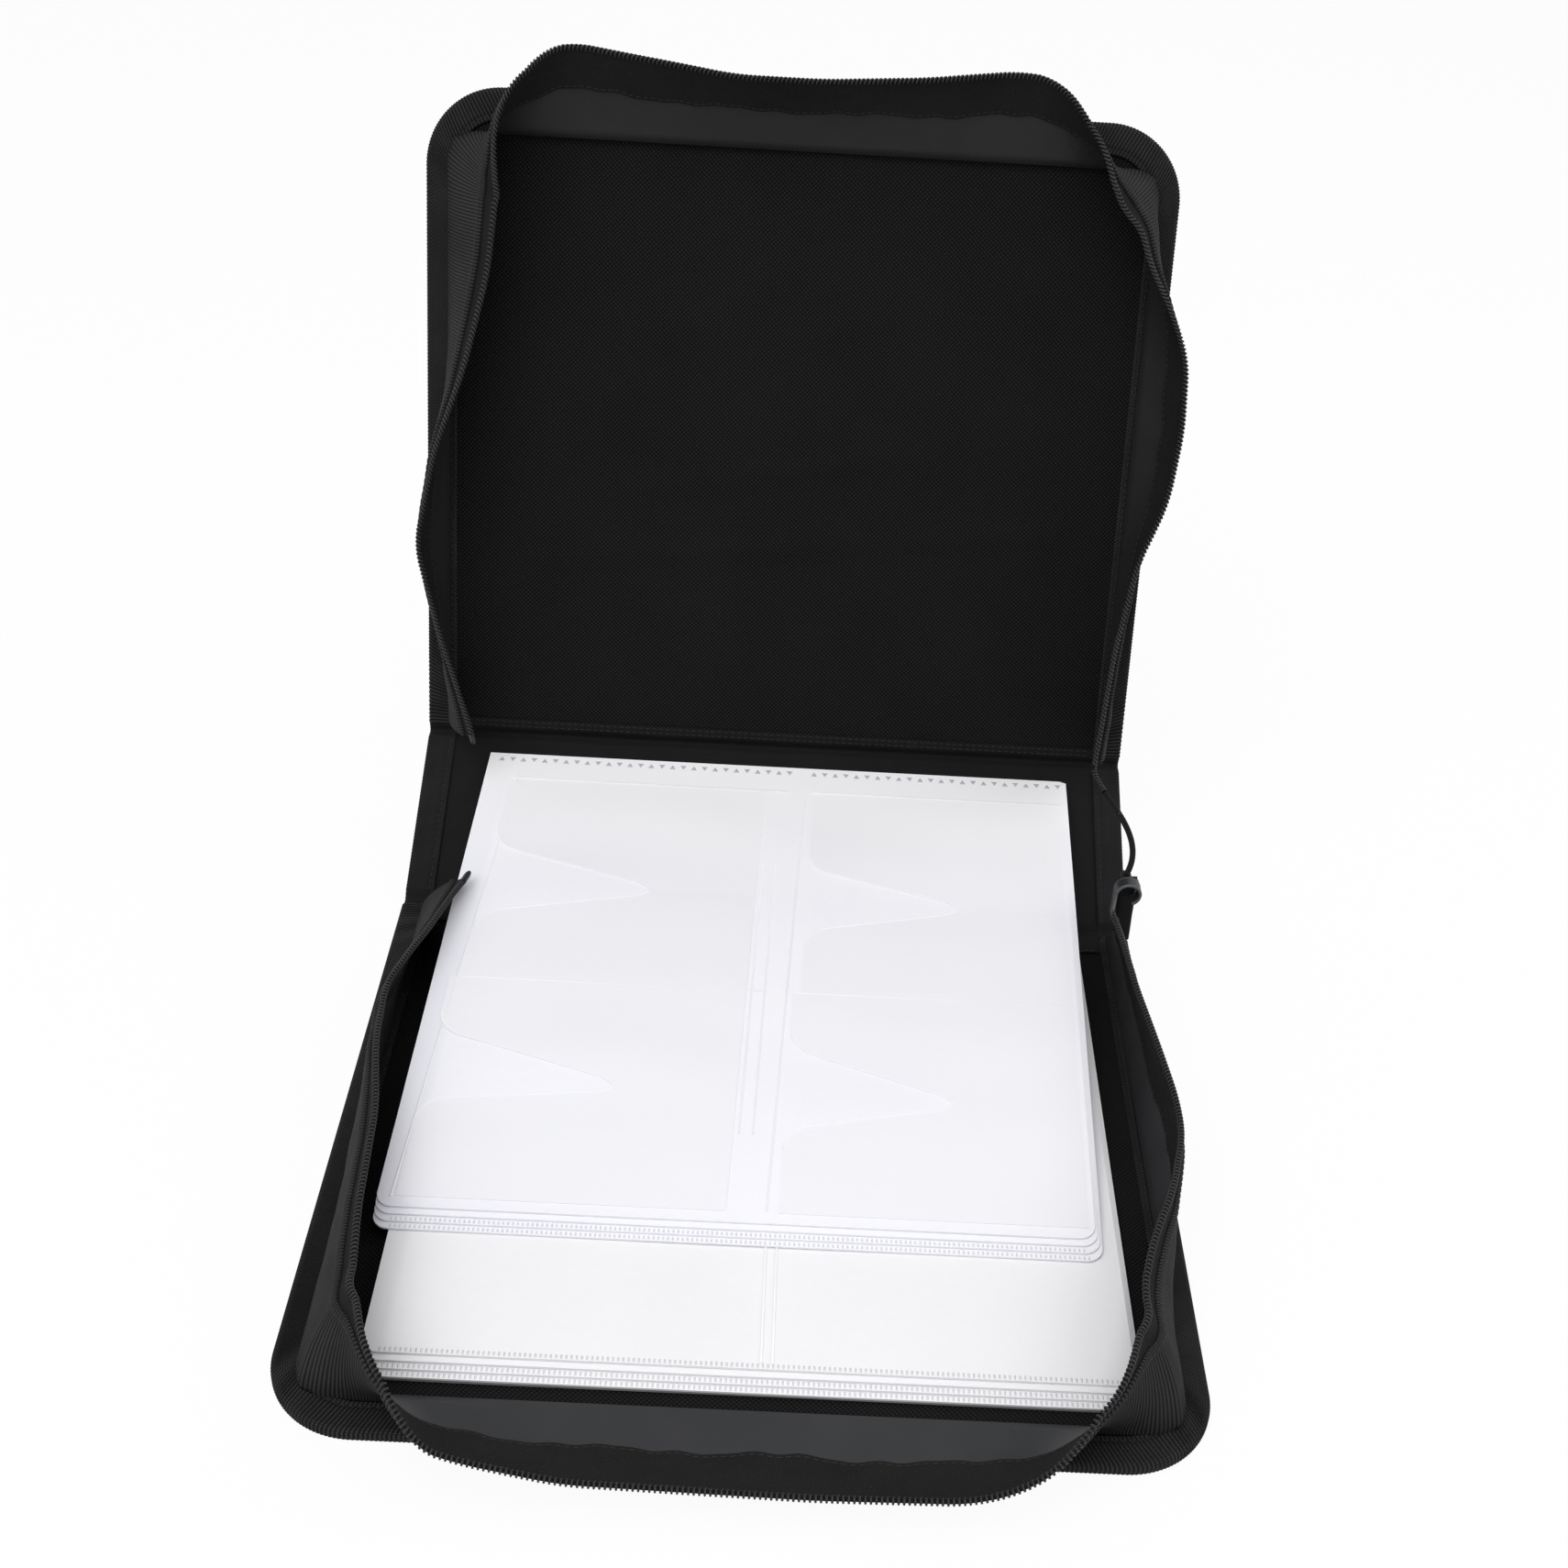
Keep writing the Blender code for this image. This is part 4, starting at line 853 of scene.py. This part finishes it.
# Sleeve pages

pageSizes = dict(corner=0.006, frontStep=0.0026, sideStep=0.0009, leaves=4, filled=0.82, skew=1.4, width=0.2712,
                 upperWidth=0.2690, upperFront=0.0036, upperBound=0.0011, filmThick=0.00012, wave=0.0006,
                 boundTop=0.0165, boundThick=0.00026, stripTop=0.0042, tickPitch=0.0018, tickInset=0.0014,
                 tick=(0.0019, 0.0007, 0.00026), sealInset=0.0042, sealHalf=0.0014, sealHeight=0.00035)
pageLow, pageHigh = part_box("upper_pages")
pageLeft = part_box("lower_pages")[0].x
pageSlope = math.atan2(pageHigh.z - pageLow.z - pageSizes["upperFront"], pageHigh.y - pageLow.y)
pageSlip = math.tan(math.radians(pageSizes["skew"]))
upright = (0.0, 0.1, 1.0)


def upperHeight(y, share):
    # Height in the upper group at a place along it: share 0 is its underside and 1 its top
    along = (y - pageLow.y) / (pageHigh.y - pageLow.y)
    low = pageLow.z * (1 - along) + (pageHigh.z - pageSizes["upperBound"]) * along
    top = (pageLow.z + pageSizes["upperFront"]) * (1 - along) + pageHigh.z * along
    return low + (top - low) * share


def filmWaves(x, y):
    # The film's slack: bands across the page that bend a little, strongest in the middle of each pocket
    down, across = (pageHigh.y - y) / 0.265, (x - pageLeft) / 0.271
    bands = np.sin(down * 34 + 2.2 * np.sin(across * 6.0) + 1.0) + 0.7 * np.sin(down * 21 - across * 5.0 + 0.4)
    pocket = np.abs(np.sin(down * 2 * math.pi)) * np.abs(np.sin(across * 2 * math.pi)) ** 0.5
    edge = smooth((1.0 - down) / 0.12) * smooth(down / 0.08)
    return pageSizes["wave"] * (0.25 + 0.75 * pocket) * edge * (bands + 1.7) / 3.4


def inUpper(x, y, share, lift=0.0):
    return np.stack([x, y, upperHeight(y, share) + filmWaves(x, y) + lift], axis=-1)


def onPage(across, down, lift=0.0):
    # A spot on the top leaf: across from its left edge, down from its bound edge, height over it
    across, down, lift = np.broadcast_arrays(across, down, lift)
    y = pageHigh.y - down * math.cos(pageSlope)
    return inUpper(pageLeft + across + (y - pageHigh.y) * pageSlip, y, 1.0, lift)


def ridePage(piece, *nodes):
    ends = ((0, foldY - 0.020, 0.02), (0, foldY + 0.050, 0.02))
    place(piece, ("base", "spine"), "sleeve_film", *nodes, ends=ends)


def ticks(name, left, right, front, spotOf):
    # Weld marks along a leaf's front edge: short low bars across the edge, one pitch apart
    x = np.arange(left, right, pageSizes["tickPitch"])
    axes = np.tile(np.array([[0.0, 1.0, 0.0], [-1.0, 0.0, 0.0], [0.0, 0.0, 1.0]]), (len(x), 1, 1))
    places = spotOf(x, np.full(len(x), front + pageSizes["tickInset"]))
    return copies(name, *pill(*pageSizes["tick"], sides=4), places, axes, "tick")


def buildUpperPages():
    sizes, count = pageSizes, pageSizes["leaves"]
    for leaf in range(count):
        right = pageLeft + sizes["upperWidth"] + (count - 1 - leaf) * sizes["sideStep"]
        front = pageLow.y + leaf * sizes["frontStep"]
        x, y = leafGrid(pageLeft, right, pageHigh.y, front, sizes["corner"], 90, 50)
        x = x + (y - pageHigh.y) * pageSlip
        faces = [inUpper(x, y, (leaf + part) / count) for part in (1.0, 1.0 - sizes["filled"])]
        piece = slab(f"upperLeaf{count - leaf}", *faces, "film")
        ridePage(piece, *(("upper_pages",) if leaf == count - 1 else ()))
        if leaf < 2:
            slip = 0.2635 * pageSlip
            ridePage(ticks(f"upperTicks{count - leaf}", pageLeft + 0.007 - slip, right - 0.005 - slip, front,
                           lambda px, py: inUpper(px, py, (leaf + 1.0) / count)))


# Each pocket: its film's left, right, top and bottom, where the thumb cut's upper and lower edges meet
# the left edge, and the cut's tip, in metres across and down the page
pockets = dict(
    BackLeft=(0.012, 0.130, 0.020, 0.147, (0.064, 0.108), (0.084, 0.0895)),
    BackRight=(0.153, 0.2665, 0.020, 0.147, (0.070, 0.110), (0.219, 0.0915)),
    FrontLeft=(0.007, 0.130, 0.147, 0.2615, (0.177, 0.214), (0.081, 0.2030)),
    FrontRight=(0.150, 0.2665, 0.147, 0.2615, (0.178, 0.221), (0.216, 0.2040)),
)
cutLook = dict(tipRound=0.006, tipGap=0.0055, corner=0.0095, filmOver=0.00015, rim=0.00017)


def buildPocket(name, left, right, top, bottom, cut, tip):
    # Film above and below the thumb cut. The cut narrows in a straight wedge from the film's left
    # edge and ends in a round tip; past the tip the two films meet. Both have a round left corner.
    corner, tipRound, (tipX, tipDown) = cutLook["corner"], cutLook["tipRound"], tip
    bend = np.linspace(0, math.pi / 2, 12)
    across = np.concatenate([left + corner * (1 - np.cos(bend)),
                             np.linspace(left + corner, tipX - tipRound, 24)[1:],
                             tipX - tipRound * (1 - np.sin(bend))[1:], np.linspace(tipX, right, 16)[1:]])
    share = np.clip((across - left) / (tipX - left), 0, 1)
    ending = np.sqrt(np.clip(1 - ((across - tipX) / tipRound + 1).clip(0, 1) ** 2, 0, 1))
    turn = corner * (1 - np.sqrt(1 - np.clip((left + corner - across) / corner, 0, 1) ** 2))
    edges = []
    for side, start in zip((-1, 1), cut):
        gap = (start - tipDown) * (1 - share) + side * cutLook["tipGap"] / 2 * share
        edges.append(tipDown + gap * ending + side * turn)
    over, thick = cutLook["filmOver"], pageSizes["filmThick"]
    for part, first, last in (("Upper", top, edges[0]), ("Lower", edges[1], bottom)):
        down = first + (last - first) * np.linspace(0, 1, 26)[:, None]
        faces = [onPage(across, down, over + side * thick) for side in (1, -1)]
        ridePage(slab(f"pocket{name}{part}", *faces, "pocket", begin=float(np.mean(first))))
    upTo = across <= tipX + 1e-9
    upper, lower = [np.stack([across[upTo], edge[upTo]], -1) for edge in edges]
    outline = np.concatenate([upper, lower[::-1]])
    path = onPage(outline[:, 0], outline[:, 1], over + thick)
    path = path[np.append(True, np.linalg.norm(np.diff(path, axis=0), axis=1) > 1e-5)]
    # The cut's edges as a near-white wire: painted highlight along the film's cut edge
    ridePage(wire(f"pocketEdgeHighlight{name}", path, upright, cutLook["rim"], 6, "rim"))


# Welded lines on the page: start and end as across and down
pageWelds = (((0.1300, 0.024), (0.1300, 0.261)), ((0.1325, 0.068), (0.1325, 0.224)),
             ((0.1380, 0.068), (0.1380, 0.224)), ((0.012, 0.147), (0.137, 0.147)),
             ((0.150, 0.147), (0.267, 0.147)), ((0.013, 0.0175), (0.141, 0.0175)),
             ((0.152, 0.0175), (0.268, 0.0175)), ((0.1490, 0.024), (0.1455, 0.261)),
             ((0.0155, 0.012), (0.0052, 0.262)))


def buildPageDetails():
    # Welded lines, and a row of small pyramids pressed along the bound edge, every other one turned
    for number, (start, end) in enumerate(pageWelds):
        line = np.linspace(start, end, 60)
        path = onPage(line[:, 0], line[:, 1], 0.00012)
        ridePage(wire(f"pageWeld{number + 1}", path, upright, 0.00042, 6, "pocket", 0.5))
    across = np.concatenate([np.arange(0.006, 0.1415, 0.005), np.arange(0.1525, 0.2685, 0.005)])
    half, high = pageSizes["sealHalf"], pageSizes["sealHeight"]
    shape = np.array([[-half, -half, 0], [half, -half, 0], [0, half, 0], [0, -half * 0.3, high]])
    faces = np.array([[0, 1, 3], [1, 2, 3], [2, 0, 3], [0, 2, 1]])
    hand = np.where(np.arange(len(across)) % 2, -1.0, 1.0)
    axes = np.zeros((len(across), 3, 3))
    axes[:, 0, 0], axes[:, 1, 1], axes[:, 1, 2], axes[:, 2, 2] = hand, hand, hand * math.tan(pageSlope), 1.0
    # The pressed pyramids take the darker grey: painted shade in the embosses
    marks = copies("sealMarks", shape, faces, onPage(across, pageSizes["sealInset"], 0.00005), axes, "mark")
    marks.data.shade_flat()
    ridePage(marks)


def buildLowerPages():
    # The lower leaves lie flat and their bound margins turn up onto the spine's lower strip
    sizes, count = pageSizes, pageSizes["leaves"]
    low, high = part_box("lower_pages")
    step = (high.z - low.z) / count
    ends = ((0, foldY - 0.007, 0.005), (0, foldY + 0.010, 0.009))
    for leaf in range(count):
        front = low.y + leaf * sizes["frontStep"]
        right = low.x + sizes["width"] + (count - 1 - leaf) * sizes["sideStep"]
        x, y = leafGrid(low.x, right, high.y - 0.001, front, sizes["corner"], 70, 50)
        sag = 0.0002 * (np.sin(x * 38 + y * 25) + 1) * smooth((y - front) / 0.03) * (1 - leaf / count / 2)
        along = np.linspace(-0.0055, sizes["boundTop"], 14)[:, None]
        up = smooth((along + 0.006) / 0.013)
        faces = []
        for part, bound in ((1.0, 1.0), (1.0 - sizes["filled"], 0.35)):
            level = low.z + (leaf + part) * step
            onStrip = sizes["stripTop"] + (leaf + bound) * sizes["boundThick"]
            height = (level - skinZ) * (1 - up) + onStrip * up
            edge = acrossFold("low", x[0], along, height)
            faces.append(np.concatenate([edge[:0:-1], np.stack([x, y, level + sag], axis=-1)], axis=0))
        nodes = ("lower_pages",) if leaf == count - 1 else ()
        piece = slab(f"lowerLeaf{count - leaf}", *faces, "filmLow")
        place(piece, ("base", "spine"), "sleeve_film_low", *nodes, ends=ends)
        if leaf == 2:
            continue
        level = low.z + (leaf + 1.0) * step
        marks = ticks(f"lowerTicks{count - leaf}", low.x + 0.007, right - 0.006, front,
                      lambda px, py: np.stack([px, py, np.full_like(px, level)], axis=-1))
        place(marks, "base", "sleeve_film_low")
    y = np.linspace(low.y + 0.010, foldY - 0.02, 40)
    for number, across in enumerate((0.1395, 0.1435)):
        path = np.stack([np.full(40, low.x + across), y, np.full(40, high.z + 0.0004)], axis=-1)
        weld = wire(f"lowerWeld{number + 1}", path, (0.0, 0.0, 1.0), 0.0004, 6, "pocket", 0.5)
        place(weld, "base", "sleeve_film_low")


def buildUnderPages():
    low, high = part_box("page_backing_sheet")
    x, y = leafGrid(low.x, high.x, high.y, low.y, pageSizes["corner"], 40, 50)
    top = np.stack([x, y, high.z - 0.0002 + 0.00012 * (np.sin(x * 31 + y * 44) + 1)], axis=-1)
    piece = slab("backingSheet", top, top - (0, 0, high.z - low.z - 0.0002), "backing")
    place(piece, "base", "backing_film", "page_backing_sheet")
    low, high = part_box("page_strip_lower")
    under = linerTop + layerGap
    for name, middle in (("lower", 0.0115), ("upper", 0.0725)):
        x, off = np.meshgrid(np.linspace(low.x, high.x, 120), np.linspace(-0.005, 0.005, 7))
        rise = 0.00008 * (np.sin(x * 420) * np.cos(off * 600) - 1)
        faces = [onPanel("spine", x, middle + off, height) for height in (under + 0.0006 + rise, under)]
        place(slab(f"{name}Strip", *faces, "strip"), "spine", "page_strip_cloth", f"page_strip_{name}")


buildUpperPages()
for name, look in pockets.items():
    buildPocket(name, *look)
buildPageDetails()
buildLowerPages()
buildUnderPages()
print("case: pages made")


# The joined end of the zip: free tail, coated loop and cloth tab

endSizes = dict(sliderInset=0.0078, sliderFromFold=0.01575, sliderRise=0.0436, sliderHalf=0.0050, clear=0.0004,
                sliderWidth=0.0080, tailGap=0.0012, tailLeave=0.011, tailArrive=(0.009, 0.006, 0.020),
                tailWidth=0.0030, tailThick=0.0026, teethIn=0.0004, ladderEnd=44, loopRadius=0.0052,
                loopInset=0.0080, loopRise=0.0461, loopLeg=0.0130, loopWidth=0.0050, loopThick=0.0012,
                loopEnd=-63.0, loopGap=0.0009, edgeRadius=0.00069, tabInset=0.0080, tabRise=0.0451,
                tabLength=0.0300, tabWidth=0.0075, tabThick=0.0018, tabLean=4.0)
sliderSpot = np.array([halfWidth - endSizes["sliderInset"], foldY - endSizes["sliderFromFold"],
                       skinZ + endSizes["sliderRise"]])


def buildTail():
    # A smooth curve between four points carries a flat oval section, in two lengths that meet at the spine,
    # and a row of teeth runs on its edge
    sizes, line = endSizes, coilLines["lid"]
    onward = unit(line[-1] - line[-12])
    start = line[-1] + onward * sizes["tailGap"]
    goal = sliderSpot + (0, 0, sizes["sliderHalf"] + sizes["clear"])
    share = np.linspace(0, 1, 81)[:, None]
    rest = 1 - share
    route = (rest ** 3 * start + 3 * rest ** 2 * share * (start + onward * sizes["tailLeave"])
             + 3 * rest * share ** 2 * (goal + sizes["tailArrive"]) + share ** 3 * goal)
    across = np.cross(np.gradient(route, axis=0), (1.0, 0.0, 0.0))
    across = unit(across * np.sign(across[:, 1:2] + 1e-9))
    thick = unit(np.cross(np.gradient(route, axis=0), across))
    turn = np.linspace(0, 2 * math.pi, 14, endpoint=False)[None, :, None]
    rings = (route[:, None] + across[:, None] * np.cos(turn) * sizes["tailWidth"] / 2
             + thick[:, None] * np.sin(turn) * sizes["tailThick"] / 2)
    ends = (route[40], route[0])
    high, low = [tube(f"zipTail{name}", part, "tape", flip=True) for name, part in
                 (("High", rings[:41]), ("Low", rings[40:]))]
    place(high, ("spine", "lid"), "zip_tape", "zip_tail", ends=ends)
    ladder = (route - across * sizes["teethIn"])[:sizes["ladderEnd"]]
    place(coilAlong("tailTeeth", ladder, thick[:sizes["ladderEnd"]]), ("spine", "lid"), "zip_coil", ends=ends)
    place(low, ("base", "spine"), "zip_tape", ends=(route[80], route[40]))


def buildLoop():
    # Coated tape that leaves the base teeth, stands up as a leg and curls outwards in an arc, with a
    # lighter rounded edge on each side
    sizes, joint = endSizes, coilLines["base"][-1]
    back = sliderSpot[1] - sizes["sliderWidth"] / 2 - sizes["tabThick"] - 2 * sizes["clear"]
    front = back - sizes["loopWidth"]
    radius, centre = sizes["loopRadius"], (halfWidth - sizes["loopInset"], skinZ + sizes["loopRise"])
    legX, footZ = centre[0] - radius, centre[1] - sizes["loopLeg"]
    rows = [((legX, front, footZ), (legX, back, footZ))]
    for height in joint[2] + np.array([-0.0016, 0.0, 0.0016]):
        rows.append(((joint[0], joint[1] + sizes["loopGap"], height), (legX, back, height)))
    for turn in np.linspace(math.pi, math.radians(sizes["loopEnd"]), 30):
        x, z = centre[0] + radius * math.cos(turn), centre[1] + radius * math.sin(turn)
        rows.append(((x, front, z), (x, back, z)))
    rows = np.array(rows)
    middle = rows[:, :1] + (rows[:, 1:] - rows[:, :1]) * np.linspace(0, 1, 7)[None, :, None]
    across = unit(np.cross(np.gradient(middle, axis=0), np.gradient(middle, axis=1))) * sizes["loopThick"] / 2
    place(slab("endLoop", middle + across, middle - across, "loop"), "base", "coated_tape", "zip_end_loop")
    for name, column in (("Front", 0), ("Back", -1)):
        edge = wire(f"loopEdge{name}", middle[:, column], (0.0, 1.0, 0.2), sizes["edgeRadius"], 8, "loopEdge")
        place(edge, "base", "coated_tape")


def buildTab():
    # A folded cloth tab: a soft pillow section, wider at its top, hanging with a slight lean
    sizes = endSizes
    spotY = sliderSpot[1] - sizes["sliderWidth"] / 2 - sizes["clear"] - sizes["tabThick"] / 2
    down, across = np.meshgrid(np.linspace(0, 1, 50), np.linspace(-1, 1, 22), indexing="ij")
    swell = np.sqrt(np.clip(1 - across ** 4, 0, 1)) * (1 - 0.5 * np.exp(-((down - 0.82) / 0.03) ** 2))
    swell = swell * np.sqrt(np.clip(1 - (2 * down - 1) ** 8, 0, 1))
    x = across * sizes["tabWidth"] / 2 * (1 - 0.22 * down ** 2)
    z = -down * sizes["tabLength"] + 0.0016 * across * down
    c, s = math.cos(math.radians(sizes["tabLean"])), math.sin(math.radians(sizes["tabLean"]))
    faces = [np.stack([halfWidth - sizes["tabInset"] + x * c - z * s,
                       spotY - side * sizes["tabThick"] / 2 * (0.15 + 0.85 * swell),
                       skinZ + sizes["tabRise"] + x * s + z * c], axis=-1) for side in (1, -1)]
    place(slab("endTab", *faces, "tab"), "base", "tab_cloth", "zip_end_tab")


buildTail()
buildLoop()
buildTab()

# Carried-over nodes get their finishes
for node, finish in (("base_board", "board"), ("spine_board", "board"), ("lid_board", "board"),
                     ("zip_slider", "metal"), ("zip_pull", "metal")):
    frame["nodes"][node].data.materials.clear()
    frame["nodes"][node].data.materials.append(finishes[finish])
print("case: zip end made")


# Camera, floor, light

cameraLook = dict(place=(-0.0004, -0.5846, 0.5809), aim=(0.0197, 0.2563, 0.0), roll=3.733, lens=46.9,
                  shift=(-0.01825, 0.00146))
lightLook = dict(worldFill=0.52, floorGlow=0.94, floorHalf=6.0, floorLow=-0.0003, floorTone=0.86,
                 aim=(0, 0.08, 0.05),
                 lamps=dict(keyLamp=((-0.5, -0.9, 1.9), 31.0, 1.8), sideLamp=((1.4, 0.3, 1.2), 7.0, 1.2)))


def aimFrom(spot, aim):
    return (Vector(aim) - Vector(spot)).to_track_quat("-Z", "Y")


def buildCamera():
    camera = bpy.data.objects.new("camera", bpy.data.cameras.new("camera"))
    bpy.context.scene.collection.objects.link(camera)
    camera.location = cameraLook["place"]
    look = aimFrom(cameraLook["place"], cameraLook["aim"]).to_matrix()
    camera.rotation_euler = (look @ Matrix.Rotation(math.radians(cameraLook["roll"]), 3, "Z")).to_euler()
    camera.data.lens = cameraLook["lens"]
    camera.data.shift_x, camera.data.shift_y = cameraLook["shift"]
    bpy.context.scene.camera = camera


def seenDirectly(tree):
    # 1 for rays from the camera, a mirror or through glass, 0 for light falling on the object
    path = tree.nodes.new("ShaderNodeLightPath")
    rays = [Signal(tree, path.outputs[f"Is {kind} Ray"]) for kind in ("Camera", "Glossy", "Transmission")]
    return rays[0].use("MAXIMUM", rays[1]).use("MAXIMUM", rays[2])


def buildStage():
    # A pale floor that keeps the object's shadow, and a white background that lights it evenly
    size, low, tone = lightLook["floorHalf"], lightLook["floorLow"], lightLook["floorTone"]
    data = bpy.data.meshes.new("floor")
    data.from_pydata([(-size, -size, low), (size, -size, low), (size, size, low), (-size, size, low)], [],
                     [(0, 1, 2, 3)])
    made = bpy.data.materials.new("paleFloor")
    made.use_nodes = True
    tree = made.node_tree
    shader = tree.nodes["Principled BSDF"]
    shader.inputs["Base Color"].default_value = (tone, tone, tone, 1)
    shader.inputs["Roughness"].default_value = 0.9
    glow, mix = tree.nodes.new("ShaderNodeEmission"), tree.nodes.new("ShaderNodeMixShader")
    tree.links.new((seenDirectly(tree) * lightLook["floorGlow"]).socket, mix.inputs["Fac"])
    tree.links.new(shader.outputs["BSDF"], mix.inputs[1])
    tree.links.new(glow.outputs["Emission"], mix.inputs[2])
    tree.links.new(mix.outputs["Shader"], tree.nodes["Material Output"].inputs["Surface"])
    data.materials.append(made)
    finishPiece("floor", data)

    world = bpy.data.worlds.new("studio")
    bpy.context.scene.world = world
    world.use_nodes = True
    tree, fill = world.node_tree, lightLook["worldFill"]
    strength = seenDirectly(tree) * (1 - fill) + fill
    tree.nodes["Background"].inputs["Color"].default_value = (1, 1, 1, 1)
    tree.links.new(strength.socket, tree.nodes["Background"].inputs["Strength"])


def addLamp(name, spot, power, size):
    lamp = bpy.data.lights.new(name, "AREA")
    lamp.energy, lamp.size = power, size
    item = bpy.data.objects.new(name, lamp)
    item.location = spot
    item.rotation_euler = aimFrom(spot, lightLook["aim"]).to_euler()
    bpy.context.scene.collection.objects.link(item)


buildCamera()
buildStage()
for name, look in lightLook["lamps"].items():
    addLamp(name, *look)
bpy.context.scene.view_settings.view_transform = "Standard"
print("case: stage made")
